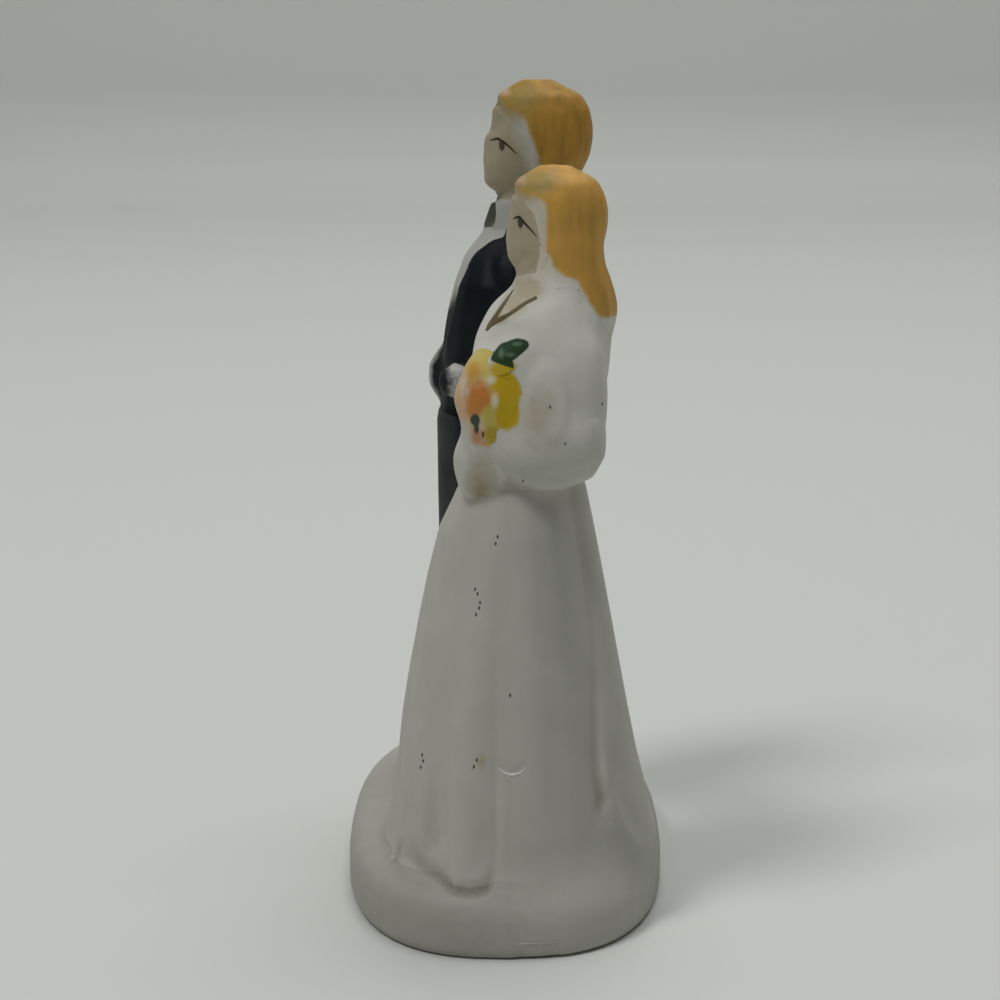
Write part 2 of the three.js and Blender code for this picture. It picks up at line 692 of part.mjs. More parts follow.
// The groom's chest and shoulders, which the coat and the shirt front both follow.
function torso(grow) {
  const shoulder = 1 - COAT_SHOULDER_DROP / COAT_HEIGHT;
  const half = through([
    [0, COAT_WAIST_WIDTH / 2], [0.35, COAT_WAIST_WIDTH / 2], [shoulder - 0.12, COAT_SHOULDER_WIDTH / 2],
    [shoulder, COAT_SHOULDER_WIDTH * 0.46], [1, COLLAR_WIDTH * 0.56],
  ]);
  const front = through([
    [0, COAT_FRONT], [0.4, COAT_FRONT], [0.57, COAT_FRONT * 0.98], [0.78, COAT_FRONT * 0.81],
    [0.94, COAT_FRONT * 0.56], [1, COAT_FRONT * 0.34],
  ]);
  const back = through([[0, COAT_BACK], [shoulder, COAT_BACK], [1, COAT_BACK * 0.85]]);
  return stack(coatHemZ, coatTopZ, 9, (share) => ({
    x: GROOM_OFFSET,
    y: GROOM_SETBACK,
    half: half(share),
    front: front(share),
    back: back(share),
    power: 2.4,
    angles: around(18),
  }), grow);
}

// The opening between the lapels, as [share of the way down, share of the half width].
const SHIRT_OPENING = [[0, 0.81], [0.3, 0.97], [0.5, 1], [0.7, 0.9], [0.87, 0.7], [1, 0.35]];
function shirtOpening(grow) {
  const high = coatTopZ + COLLAR_HEIGHT + grow;
  const edge = SHIRT_OPENING.map(([down, wide]) => [
    (SHIRT_WIDTH / 2) * wide + grow,
    coatTopZ - SHIRT_LENGTH * down - grow * down,
  ]);
  const corners = [[edge[0][0], high], ...edge];
  return frontPrism([
    ...corners.map(([x, z]) => [GROOM_OFFSET - x, z]),
    ...corners.toReversed().map(([x, z]) => [GROOM_OFFSET + x, z]),
  ], GROOM_SETBACK - 2 * COAT_FRONT, GROOM_SETBACK + grow);
}
piece("groom_shirt_front", "bisque", (grow) => torso(grow - LAPEL_STEP).intersect(shirtOpening(grow)));

// The waistcoat: a rounded front that shows where the coat cuts away.
function waistcoat(grow) {
  const half = new THREE.Vector3(WAISTCOAT_WIDTH, COAT_FRONT + WAISTCOAT_PROUD, WAISTCOAT_HEIGHT);
  const centre = new THREE.Vector3(
    GROOM_OFFSET,
    GROOM_SETBACK - (COAT_FRONT + WAISTCOAT_PROUD) / 2,
    coatTopZ - SHIRT_LENGTH - WAISTCOAT_HEIGHT * 0.24,
  );
  return ball(centre, half.divideScalar(2), grow, { sides: 12, layers: 6 });
}
piece("groom_waistcoat", "bisque", waistcoat);

// The stand collar around the neck.
function collar(grow) {
  const half = COLLAR_WIDTH / 2;
  return stack(coatTopZ - COLLAR_HEIGHT / 2, coatTopZ + COLLAR_HEIGHT, 2, (share) => ({
    x: GROOM_OFFSET,
    y: groomHead.y - GROOM_NECK_LEAD,
    half: half * (1 - 0.06 * share),
    front: half * (1 - 0.1 * share),
    back: half * (1 - 0.06 * share),
    angles: around(18),
  }), grow);
}
piece("groom_collar", "bisque", collar);

// The coat: the torso with its fronts cut away below the waistcoat towards the tails.
function coat(grow) {
  const low = coatTopZ - SHIRT_LENGTH - CUTAWAY_DROP;
  const far = COAT_WAIST_WIDTH * 2;
  const cutaway = sidePrism([
    [-far, low - grow],
    [-far, coatHemZ - far],
    [GROOM_SETBACK + COAT_BACK * 0.4 - grow, coatHemZ - far],
    [GROOM_SETBACK + COAT_BACK * 0.4 - grow, coatHemZ],
    [GROOM_SETBACK - COAT_FRONT * 0.35 - grow, low - CUTAWAY_DROP / 3],
    [GROOM_SETBACK - COAT_FRONT * 0.8 - grow, low - grow],
  ], GROOM_OFFSET - far, GROOM_OFFSET + far);
  return torso(grow).subtract(cutaway).subtract(shirtOpening(SLIP_GAP - grow));
}
piece("groom_coat", "coat", coat);

// The tails: one panel behind the legs, narrowing towards its hem.
function tails(grow) {
  const topZ = coatHemZ - SLIP_GAP;
  return stack(topZ - TAIL_LENGTH, topZ, 3, (share) => ({
    x: GROOM_OFFSET,
    y: GROOM_SETBACK + COAT_BACK - TAIL_THICKNESS * 1.5,
    half: (TAIL_WIDTH / 2) * (0.62 + 0.38 * share),
    front: TAIL_THICKNESS,
    back: TAIL_THICKNESS * (1 + 0.4 * share),
    power: 2.8,
    angles: around(18),
  }), grow);
}
piece("groom_coat_tails", "coat", tails);

// The cravat: a narrow knot down the front of the collar.
function cravat(grow) {
  const y = groomHead.y - GROOM_NECK_LEAD - COLLAR_WIDTH * 0.46;
  const topZ = coatTopZ + COLLAR_HEIGHT - CRAVAT_WIDTH / 4;
  const half = CRAVAT_WIDTH / 2;
  return limb([
    [GROOM_OFFSET, y, topZ, half * 0.8, half * 0.5],
    [GROOM_OFFSET, y - CRAVAT_HEIGHT * 0.12, topZ - CRAVAT_HEIGHT / 2, half, half * 0.6],
    [GROOM_OFFSET, y - CRAVAT_HEIGHT * 0.36, topZ - CRAVAT_HEIGHT, half * 0.8, half * 0.5],
  ], grow, { steps: 4, sides: 8 });
}
piece("groom_cravat", "cravat", cravat);

// The groom's hair: a close cap with a fringe swept off the face.
function groomHair(grow) {
  const size = [GROOM_HEAD_WIDTH, GROOM_HEAD_DEPTH, GROOM_HEAD_HEIGHT];
  const cap = headForm(groomHead, ...size, GROOM_HAIR_THICKNESS + grow);
  const opening = faceOpening(groomHead, ...size, GROOM_HAIRLINE_LEAD, grow);
  const napeZ = groomHead.z - GROOM_HEAD_HEIGHT * 0.42 - grow;
  const far = GROOM_HEAD_DEPTH * 2;
  const nape = sidePrism([
    [groomHead.y - far, napeZ - far],
    [groomHead.y + far, napeZ - far],
    [groomHead.y + far, napeZ],
    [groomHead.y - far, napeZ],
  ], groomHead.x - far, groomHead.x + far);
  return cap.subtract(opening).subtract(nape);
}
piece("groom_hair", "hair", groomHair);

// A hand: a mitten with a rounded end, from the wrist plug to the finger tips.
function hand(wrist, way, length, width, tip, grow) {
  const along = way.clone().normalize();
  const stop = (reach, wide, deep) => {
    const p = wrist.clone().addScaledVector(along, reach);
    return [p.x, p.y, p.z, wide, deep];
  };
  const half = width / 2;
  return limb([
    stop(-WRIST_PLUG, half * 0.7, half * 0.7),
    stop(0, half * 0.75, half * 0.75),
    stop(length * 0.4, half, half * 0.9),
    stop(length - half, half * 0.9 * tip, half * 0.9 * tip),
  ], grow, { steps: 4, sides: 8 });
}

// Where the groom's arms bend. The left forearm comes forward, and the right arm hangs.
const groomShoulderZ = coatTopZ - COAT_SHOULDER_DROP;
const sleeveX = COAT_SHOULDER_WIDTH / 2 - COAT_SLEEVE_WIDTH * 0.2;
const groomLeftElbow = new THREE.Vector3(
  GROOM_OFFSET + sleeveX, GROOM_SETBACK + COAT_BACK * 0.2, groomShoulderZ - GROOM_UPPER_ARM,
);
const groomLeftWrist = groomLeftElbow.clone().add(
  new THREE.Vector3(-COAT_SLEEVE_WIDTH * 0.2, -GROOM_FOREARM * 0.5, GROOM_FOREARM * 0.05),
);
const groomRightElbow = new THREE.Vector3(
  GROOM_OFFSET - sleeveX, GROOM_SETBACK + COAT_BACK * 0.3, groomShoulderZ - GROOM_UPPER_ARM,
);
const groomRightWrist = groomRightElbow.clone().add(
  new THREE.Vector3(COAT_SLEEVE_WIDTH * 0.1, -GROOM_FOREARM * 0.35, -GROOM_FOREARM * 0.94),
);

// One coat sleeve, from inside the shoulder to the cuff.
function coatSleeve(side, elbow, wrist, grow) {
  const half = COAT_SLEEVE_WIDTH / 2;
  const shoulder = GROOM_OFFSET + side * (COAT_SHOULDER_WIDTH / 2 - half);
  const y = GROOM_SETBACK + COAT_BACK * 0.15;
  return limb([
    [shoulder, y, groomShoulderZ, half * 0.9, half],
    [(shoulder + elbow.x * 2) / 3, y, (groomShoulderZ * 2 + elbow.z) / 3, half, half * 1.05],
    [elbow.x, elbow.y, elbow.z, half * 0.95, half],
    [wrist.x, wrist.y, wrist.z, CUFF_WIDTH / 2, CUFF_WIDTH / 2],
  ], grow, { steps: 6, sides: 10 });
}
piece("groom_left_hand", "flesh", (grow) => hand(
  groomLeftWrist, new THREE.Vector3(-0.1, -1, 0.04), GROOM_HAND_LENGTH, GROOM_HAND_WIDTH, 1, grow,
));
piece("groom_right_hand", "flesh", (grow) => hand(
  groomRightWrist, new THREE.Vector3(0, -0.35, -1), GROOM_HAND_LENGTH * 1.2, GROOM_HAND_WIDTH, 0.8, grow,
));
piece("groom_left_sleeve", "coat", (grow) => coatSleeve(1, groomLeftElbow, groomLeftWrist, grow));
piece("groom_right_sleeve", "coat", (grow) => coatSleeve(-1, groomRightElbow, groomRightWrist, grow));

// The posy: a rounded bunch held against the bodice, with blooms set around it.
const posyHalf = new THREE.Vector3(POSY_WIDTH / 2, POSY_DEPTH / 2, POSY_HEIGHT / 2);
piece("posy_body", "bisque", (grow) => ball(posyCentre, posyHalf, grow, { sides: 16, layers: 8 }));

// One bloom: a low dome of five petals on the posy, facing the given way.
function bloom(way, size, grow) {
  const aim = new THREE.Vector3(...way).normalize();
  const foot = aim.clone().multiply(posyHalf).add(posyCentre);
  const half = (BLOOM_DIAMETER * size) / 2;
  const petals = (d) => 1 + 0.07 * Math.cos(5 * Math.atan2(d.y, d.x)) * Math.hypot(d.x, d.y);
  const dome = new THREE.Vector3(half, half, BLOOM_RISE * 2);
  const centre = foot.addScaledVector(aim, -BLOOM_RISE);
  return ball(centre, dome, grow, { shape: petals, aim, sides: 10, layers: 5 });
}
piece("posy_yellow_bloom", "yellow", (grow) => bloom([0.92, 0.36, 0.02], 1, grow));
piece("posy_orange_bloom", "orange", (grow) => bloom([0.6, -0.8, 0.1], 1, grow));
piece("posy_upper_bloom", "yellow", (grow) => bloom([0.36, -0.3, 0.88], 0.95, grow));
piece("posy_lower_bloom", "orange", (grow) => bloom([0.62, -0.2, -0.76], 0.85, grow));
piece("posy_front_bloom", "yellow", (grow) => bloom([-0.36, -0.92, 0.1], 0.95, grow));

// The ribbon fall under the flowers, where the stems are bound.
function ribbon(grow) {
  const x = BRIDE_OFFSET + POSY_SIDE * 0.85;
  const y = posyCentre.y - POSY_DEPTH * 0.2;
  const topZ = posyCentre.z - POSY_HEIGHT * 0.36;
  const half = RIBBON_WIDTH / 2;
  const deep = RIBBON_DEPTH / 2;
  return limb([
    [x, y, topZ, half * 0.7, deep * 0.7],
    [x, y - deep * 0.1, topZ - RIBBON_LENGTH * 0.35, half, deep],
    [x, y - deep * 0.1, topZ - RIBBON_LENGTH + half, half * 0.8, deep * 0.8],
  ], grow, { steps: 4, sides: 10 });
}
piece("posy_ribbon", "bisque", ribbon);

// Where the bride's arms bend: upper arms back and out, the left forearm forward to the posy and the
// right one forward and across to the groom's sleeve.
const brideShoulderZ = bodiceZ + SHOULDER_RISE;
const elbowZ = brideShoulderZ - BRIDE_UPPER_ARM;
const elbowY = BRIDE_SETBACK + BRIDE_ELBOW_BACK;
const wristY = elbowY - BRIDE_FOREARM;
const leftWristX = BRIDE_OFFSET + BRIDE_ELBOW_OUT * 0.86;
const rightWristX = BRIDE_OFFSET - BRIDE_ELBOW_OUT - BRIDE_LINK_REACH;
piece("bride_left_hand", "flesh", (grow) => hand(
  new THREE.Vector3(leftWristX, wristY + BRIDE_HAND_WIDTH * 0.2, elbowZ - BRIDE_HAND_WIDTH * 0.3),
  new THREE.Vector3(-0.08, 0, -1), BRIDE_HAND_LENGTH, BRIDE_HAND_WIDTH, 0.8, grow,
));
piece("bride_right_hand", "flesh", (grow) => hand(
  new THREE.Vector3(rightWristX, wristY, elbowZ),
  new THREE.Vector3(-1, 0.05, 0.2), BRIDE_HAND_LENGTH * 0.8, BRIDE_HAND_WIDTH, 0.8, grow,
));

// The sleeve puff, full from the shoulder to the elbow.
function puff(side, grow) {
  const stop = (share, full) => [
    BRIDE_OFFSET + side * (BUST_WIDTH * 0.36 * (1 - share) + BRIDE_ELBOW_OUT * share),
    elbowY - BRIDE_ELBOW_BACK * 0.4 * (1 - share),
    brideShoulderZ - BRIDE_UPPER_ARM * share,
    (PUFF_WIDTH / 2) * full,
    (PUFF_DEPTH / 2) * full,
  ];
  const stops = [stop(0.02, 0.66), stop(0.3, 0.92), stop(0.6, 1), stop(0.86, 0.86)];
  return limb(stops, grow, { steps: 5, sides: 12 });
}

// The sleeve flounce, a wide fall of cloth along the forearm that narrows to the wrist.
function flounce(side, wristX, grow) {
  const stop = (share, full) => [
    THREE.MathUtils.lerp(BRIDE_OFFSET + side * BRIDE_ELBOW_OUT, wristX, share),
    elbowY - BRIDE_FOREARM * share,
    elbowZ,
    (FLOUNCE_WIDTH / 2) * full,
    (FLOUNCE_HEIGHT / 2) * full,
  ];
  const stops = [stop(0, 0.92), stop(0.3, 1), stop(0.66, 0.84), stop(1, 0.46)];
  return limb(stops, grow, { steps: 5, sides: 12 });
}
piece("bride_left_sleeve_puff", "bisque", (grow) => puff(1, grow));
piece("bride_right_sleeve_puff", "bisque", (grow) => puff(-1, grow));
piece("bride_left_sleeve_flounce", "bisque", (grow) => flounce(1, leftWristX, grow));
piece("bride_right_sleeve_flounce", "bisque", (grow) => flounce(-1, rightWristX, grow));

// The leaf that stands out between the posy and the sleeve.
function leaf(grow) {
  const aim = new THREE.Vector3(0, 0.86, 0.5);
  const half = new THREE.Vector3(LEAF_THICKNESS, LEAF_WIDTH, LEAF_LENGTH).divideScalar(2);
  const centre = posyCentre.clone().add(
    new THREE.Vector3(POSY_WIDTH * 0.4, POSY_DEPTH * 0.24, POSY_HEIGHT * 0.5),
  );
  return ball(centre, half, grow, { aim, sides: 8, layers: 6 });
}
piece("posy_leaf", "green", leaf);

// Puts the pieces together: each is cut clear of those before it, and crumbs from a cut are dropped.
function assemble() {
  const group = new THREE.Group();
  group.name = "cake_topper";
  const placed = [];
  const apart = (a, b) => [0, 1, 2].some((k) => a.min[k] > b.max[k] || b.min[k] > a.max[k]);
  for (const { name, finish, make } of pieces) {
    let form = make(0);
    for (const swollen of placed) {
      if (!apart(form.boundingBox(), swollen.boundingBox())) form = form.subtract(swollen);
    }
    form = form.decompose().reduce((a, b) => (a.volume() > b.volume() ? a : b));
    placed.push(make(SLIP_GAP));
    const mesh = form.getMesh();
    const geometry = new THREE.BufferGeometry();
    geometry.setAttribute("position", new THREE.BufferAttribute(new Float32Array(mesh.vertProperties), 3));
    geometry.setIndex(new THREE.BufferAttribute(new Uint32Array(mesh.triVerts), 1));
    const node = new THREE.Mesh(geometry, new THREE.MeshStandardMaterial(FINISH[finish]));
    node.name = name;
    group.add(node);
  }
  return group;
}

export default assemble();
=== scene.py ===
import math

import bpy
import numpy as np
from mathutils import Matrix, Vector, noise
from mathutils.bvhtree import BVHTree


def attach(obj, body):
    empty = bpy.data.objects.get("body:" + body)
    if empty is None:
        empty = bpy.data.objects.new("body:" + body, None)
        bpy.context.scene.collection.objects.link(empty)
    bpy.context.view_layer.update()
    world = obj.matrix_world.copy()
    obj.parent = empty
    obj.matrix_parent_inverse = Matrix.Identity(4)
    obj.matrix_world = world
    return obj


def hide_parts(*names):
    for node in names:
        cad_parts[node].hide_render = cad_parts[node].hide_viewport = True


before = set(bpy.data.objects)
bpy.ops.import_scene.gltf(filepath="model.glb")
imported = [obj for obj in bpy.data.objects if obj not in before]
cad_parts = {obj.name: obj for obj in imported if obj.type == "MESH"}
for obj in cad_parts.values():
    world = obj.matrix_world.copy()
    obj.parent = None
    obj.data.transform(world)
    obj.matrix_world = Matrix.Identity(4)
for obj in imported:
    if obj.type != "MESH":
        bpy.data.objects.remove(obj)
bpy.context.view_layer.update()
scene = bpy.context.scene

# The casting. The figure is slip cast in bisque porcelain: its parts leave their moulds, are stuck together
# with liquid clay and are sponged over before firing. One soft skin then runs across every joint, and each
# piece below takes its outer surface from that skin.
MM = 0.001
SKIN_GRID = 0.3 * MM
JOINT_FILL = 0.42 * MM
SLIP_REACH = 1.5 * MM
SPONGING = 9
SPONGED_BACK = 0.9
FILLED_HOLLOWS = (
    # centre and reach in mm of a place whose hollows were filled with liquid clay, and the passes it took
    ((15, 5, 67), (20, 14, 16), 170),
    ((22, 9, 61), (10, 8, 8), 200),
    ((22, 8, 76), (10, 7, 6), 200),
    ((22, -1.5, 64.8), (9, 7, 10), 90),
    ((25, 0.5, 70.3), (6, 5, 4.5), 160),
    ((-14, -1, 96.5), (7, 4.5, 5), 220),
    ((15, 1.5, 87.5), (6, 4, 5), 220),
    ((15, 8, 82), (9, 6, 8), 100),
    ((30, 7, 8.5), (11, 11, 6), 220),
    ((25, 14, 10), (10, 9, 7), 240),
    ((29, -7, 9), (8, 8, 4.5), 160),
    ((20, 4.5, 77.8), (6, 4, 3.5), 220),
    ((24, 9, 75), (7, 6, 5), 220),
    ((-8, 2.5, 94), (6, 4, 6), 200),
    ((22, 3.5, 85), (5, 4, 7), 120),
    ((24, -3, 60), (5, 4, 3.5), 100),
)
RUBBED_SOFT = (
    # the same for a place that was sponged for longer
    ((15, 5, 67), (20, 14, 16), 60),
    ((22, 8, 76), (10, 7, 6), 60),
    ((22, -1.5, 64.8), (8, 6.5, 9), 60),
    ((25, 0.5, 70.3), (5, 4.5, 4), 30),
    ((30, 7, 8), (12, 12, 6), 120),
    ((24, 15, 10), (12, 10, 7), 100),
    ((0, 0, 7), (44, 26, 6), 60),
)


def outward(points, faces):
    """The unit normal at each point of a mesh of four-sided faces."""
    a, b, c, d = (points[faces[:, k]] for k in range(4))
    flat = np.cross(c - a, d - b)
    corners = faces.ravel()
    total = [np.bincount(corners, np.repeat(flat[:, k], 4), len(points)) for k in range(3)]
    total = np.stack(total, 1)
    return total / np.maximum(np.linalg.norm(total, axis=1, keepdims=True), 1e-12)


def sponged(values, faces, passes):
    """Values at the points, such as their places, evened out with their neighbours' by a wet sponge."""
    here, there = faces.ravel(), np.roll(faces, -1, 1).ravel()
    count = np.maximum(np.bincount(here, minlength=len(values)), 1)
    for _ in range(passes):
        mean = [np.bincount(here, column[there], len(values)) / count for column in values.T]
        values = (values + np.stack(mean, 1)) / 2
    return values


def clay(points, faces):
    """A mesh of the points and faces."""
    mesh = bpy.data.meshes.new("clay")
    mesh.from_pydata(points.tolist(), [], faces.tolist())
    return mesh


def gridded(mesh, grid):
    """A closed mesh remade in even four-sided faces: its points and its faces."""
    lump = bpy.data.objects.new("lump", mesh)
    scene.collection.objects.link(lump)
    remesh = lump.modifiers.new("grid", "REMESH")
    remesh.mode = "VOXEL"
    remesh.voxel_size = grid
    made = lump.evaluated_get(bpy.context.evaluated_depsgraph_get()).to_mesh()
    points = np.empty(len(made.vertices) * 3)
    made.vertices.foreach_get("co", points)
    faces = np.empty(len(made.loops), int)
    made.loops.foreach_get("vertex_index", faces)
    bpy.data.objects.remove(lump)
    return points.reshape(-1, 3), faces.reshape(-1, 4)


def patch(faces, chosen):
    """The part of a mesh with all corners among the chosen points: its points' numbers and its faces."""
    kept = faces[chosen[faces].all(1)]
    numbers = np.unique(kept)
    return numbers, np.searchsorted(numbers, kept)


def nearness(points, centre, reach):
    """1 at the points near a centre, falling to 0 at a reach from it, both in mm."""
    return np.clip(3 - 3 * np.linalg.norm((points / MM - centre) / reach, axis=1), 0, 1)


def work_over(places, only_hollows=False):
    """Sponges the skin at the places given, each by its centre, its reach and the passes it takes."""
    for centre, reach, passes in places:
        near = nearness(skin_points, centre, reach)
        numbers, faces = patch(skin_faces, near > 0)
        local = skin_points[numbers]
        change = sponged(local, faces, passes) - local
        if only_hollows:
            normals = outward(local, faces)
            change = normals * np.maximum(np.einsum("ij,ij->i", change, normals), 0)[:, None]
        skin_points[numbers] += change * near[numbers][:, None]


owners = list(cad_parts)
stuck = [gridded(node.data, SKIN_GRID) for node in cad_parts.values()]
starts = np.cumsum([0] + [len(points) for points, _ in stuck])
whole = np.vstack([points for points, _ in stuck])
ways = np.vstack([outward(points, faces) for points, faces in stuck])
joined = np.vstack([faces + start for (_, faces), start in zip(stuck, starts)])
slip_points, slip_faces = gridded(clay(whole + ways * SLIP_REACH, joined), SKIN_GRID)
slip_points = sponged(slip_points, slip_faces, SPONGING)
slip = np.max([nearness(slip_points, centre, reach) for centre, reach, _ in FILLED_HOLLOWS], 0)
slip_points -= outward(slip_points, slip_faces) * (SLIP_REACH * (2 - slip) - JOINT_FILL)[:, None]
filled = np.vstack([whole + ways * JOINT_FILL, slip_points])
joined = np.vstack([joined, slip_faces + len(whole)])
skin_points, skin_faces = gridded(clay(filled, joined), SKIN_GRID)
skin_points = sponged(skin_points, skin_faces, SPONGING)
skin_points -= outward(skin_points, skin_faces) * JOINT_FILL * SPONGED_BACK
work_over(FILLED_HOLLOWS, only_hollows=True)
work_over(RUBBED_SOFT)

# Borders. Where one piece ends on the skin and the next begins: a point's distance to a piece, less its
# distance to the nearest other piece, is under zero on the piece's own ground. Between pieces of one clay,
# the piece that was there first runs a little way up over the later one's edge.
JOINT_REACH = 3 * MM
LAP = 1 * MM
SAME_CLAY = (
    "base bride_skirt bride_train",
    "bride_bodice bride_veil bride_left bride_right bride_head bride_hair posy_leaf posy_ribbon posy_yellow",
    "posy_body posy_orange posy_upper posy_lower posy_front",
    "groom_head groom_hair",
    "groom_shirt groom_waistcoat groom_collar",
    "groom_coat groom_left_sleeve groom_right_sleeve",
)
kin = np.arange(len(owners)) + len(SAME_CLAY)
for group, names in enumerate(SAME_CLAY):
    kin[[owner.startswith(tuple(names.split())) for owner in owners]] = group
apart = np.full((len(skin_points), len(owners)), JOINT_REACH)
close = []
for k, (points, faces) in enumerate(stuck):
    tree = BVHTree.FromPolygons(points.tolist(), faces.tolist())
    boxed = (skin_points > points.min(0) - JOINT_REACH) & (skin_points < points.max(0) + JOINT_REACH)
    close.append(boxed.all(1))
    for n in np.flatnonzero(close[k]):
        spot, way, _, far = tree.find_nearest(skin_points[n], JOINT_REACH)
        if spot is not None:
            apart[n, k] = far if way.dot(Vector(skin_points[n]) - spot) > 0 else -far
every = np.arange(len(skin_points))
nearest, second = np.argsort(apart, 1)[:, :2].T
alike = kin[nearest] == kin[second]
lap = LAP / 2 * alike * np.sign(second - nearest)
apart[every, nearest] -= lap
apart[every, second] += lap
alike = sponged(alike[:, None].astype(float), skin_faces, SPONGING)[:, 0]
closest = np.sort(apart, 1)[:, :2]
border = apart - np.where(apart == closest[:, :1], closest[:, 1:], closest[:, :1])
for k, chosen in enumerate(close):
    numbers, faces = patch(skin_faces, chosen)
    border[numbers, k] = sponged(border[numbers, k][:, None], faces, 2 * SPONGING)[:, 0]

# Modelling. What a tool and a thumb did to the skin before firing: the skirt's folds, the line where the
# mould halves met, the train's edge, a rubbed and a chipped place, the sleeve pads, the brows and chins, and
# the combed hair. Places are in mm; a row of bumps gives each one's place, half width and height.
BRIDE_MIDDLE = 15
SEAM_PLACE, SEAM_HALF, SEAM_RISE = -0.05, 0.45, 0.1
SEAM_FAINT_HIGH, SEAM_FAINT_LOW = 0.25, 0.3
SKIRT_TOP = 52
FOLDS = ((-13.4, 0.6, -0.25), (-11, 1.4, 0.25), (-8.5, 1.1, -0.5), (-5, 2.2, 0.25), (-1.1, 0.35, -0.15))
FOLD_TOP, FOLD_RUN = 34, 18
CHIP_MIDDLE, CHIP_LOW, CHIP_HALF, CHIP_CURVE, CHIP_DEPTH = 0.8, 21.4, 1.7, 0.8, 0.15
CHIP_SPREAD = 0.4
TRAIN_RIDGE = ((17.5, 9.3), (15.7, 10.5), (14, 13.4), (12.3, 18), (11.2, 26))
RIDGE_RISE, RIDGE_GROOVE = 0.3, 0.25
HEM_LINE = ((25, -13), (29, -10), (30.5, -8.3), (32.7, -6), (33.3, -4), (33.2, -2), (32.5, -1.2))
LOBE_RISE, LOBE_GROOVE, LOBE_SHADE = 0.4, 0.3, 0.35
RUBBED_DEPTH = 0.12
PAD_MIDDLE, PAD_REACH, PAD_RISE = (4.9, 64.7), (2.6, 5), 0.3
BACK_MIDDLE, BACK_HALF, BACK_RISE = 76, 4.5, 0.5
COMB_PITCH, COMB_RUN, COMB_DEPTH = 1.1, 0.16, 0.09
GROOM_BROW = ((98.2, 0.7, 1.0), (96.6, 0.9, 0.45))
GROOM_CHIN = ((94.3, 0.6, -0.45), (91.2, 1.2, -0.28), (87.2, 1.3, 0.42), (85.2, 0.8, 0.1))
BRIDE_BROW = ((88.6, 0.65, 0.9), (87.5, 0.9, 0.45))
BRIDE_CHEEK = ((83.2, 1.9, -0.45),)
SMOOTHED_BROWS = (((-14, -1, 98.5), (7, 3.6, 2.6), 130), ((15, 1.2, 88.8), (6, 3.6, 2.4), 130))


def hump(value, centre, half):
    """A smooth rise to 1 at a centre, gone at a few half widths from it."""
    return np.exp(-(((value - centre) / half) ** 2))


def ramp(value, start, end):
    """0 up to a start, 1 from an end on, and an even rise between them."""
    return np.clip((value - start) / (end - start), 0, 1)


def bumps(value, row):
    """The height that a row of bumps gives at each value."""
    return sum(height * hump(value, centre, half) for centre, half, height in row)


def left_of(line, y, z):
    """How far each point lies to the left of a line through places given by two coordinates, all in mm."""
    best = np.full(len(y), 1e9)
    side = np.zeros(len(y))
    for (y0, z0), (y1, z1) in zip(line, line[1:]):
        dy, dz = y1 - y0, z1 - z0
        along = np.clip(((y - y0) * dy + (z - z0) * dz) / (dy**2 + dz**2), 0, 1)
        far = np.hypot(y - y0 - along * dy, z - z0 - along * dz)
        side = np.where(far < best, np.sign(dy * (z - z0) - dz * (y - y0)), side)
        best = np.minimum(best, far)
    return best * side


def ground(name):
    """How far each skin point lies inside the edge of a piece, in mm."""
    return -border[:, owners.index(name)] / MM


x, y, z = skin_points.T / MM
# the mould seam down the skirt, fainter above the chip and near the plinth
bride_side = x > 20
seam = np.maximum(ramp(z, 24, 21), SEAM_FAINT_HIGH) * np.maximum(ramp(z, 2, 10), SEAM_FAINT_LOW)
rise = SEAM_RISE * bride_side * (z < SKIRT_TOP) * seam * hump(y, SEAM_PLACE, SEAM_HALF)
# the skirt's folds, the chip across the seam and the hem's rounded lobes
in_hem = left_of(HEM_LINE, x, y)
low = ramp(z, FOLD_TOP, FOLD_TOP - FOLD_RUN) * ramp(in_hem, 0, 0.8) * (z > 6.5)
rise += low * bumps(y, FOLDS)
aside = (y - CHIP_MIDDLE) / CHIP_HALF
above_lip = z - CHIP_LOW - CHIP_CURVE * aside**2
chip = np.clip(4 - 3.3 * np.abs(aside), 0, 1) * hump(above_lip, CHIP_SPREAD, CHIP_SPREAD)
rise -= CHIP_DEPTH * bride_side * chip
lobe = ramp(in_hem, 0, 0.6) * ramp(in_hem, 3.5, 1)
on_hem = bride_side * ramp(y, -1.2, -2.2) * ramp(y, -14, -13) * (z > 6) * ramp(z, 14, 8)
rise += on_hem * (LOBE_RISE * lobe - LOBE_GROOVE * hump(in_hem, -0.15, 0.45))
# the raised edge of the train, and the rubbed place on the plinth's foot
aside = left_of(TRAIN_RIDGE, y, z)
ridge = RIDGE_RISE * hump(aside, 0, 0.6) - RIDGE_GROOVE * hump(aside, -1.4, 0.8)
rise += (x > 12) * ramp(z, 24, 20) * ramp(y, 17.5, 15.5) * ridge
rise -= RUBBED_DEPTH * bride_side * ramp(z, 2.1, 1.85) * ramp(y, 1.2, 1.45) * ramp(y, 6.8, 6.3)
# the flat pads on both of the bride's sleeves
far = np.hypot((y - PAD_MIDDLE[0]) / PAD_REACH[0], (z - PAD_MIDDLE[1]) / PAD_REACH[1])
rise += PAD_RISE * ramp(far, 1.1, 0.75) * ramp(np.abs(x - BRIDE_MIDDLE), 8, 10)
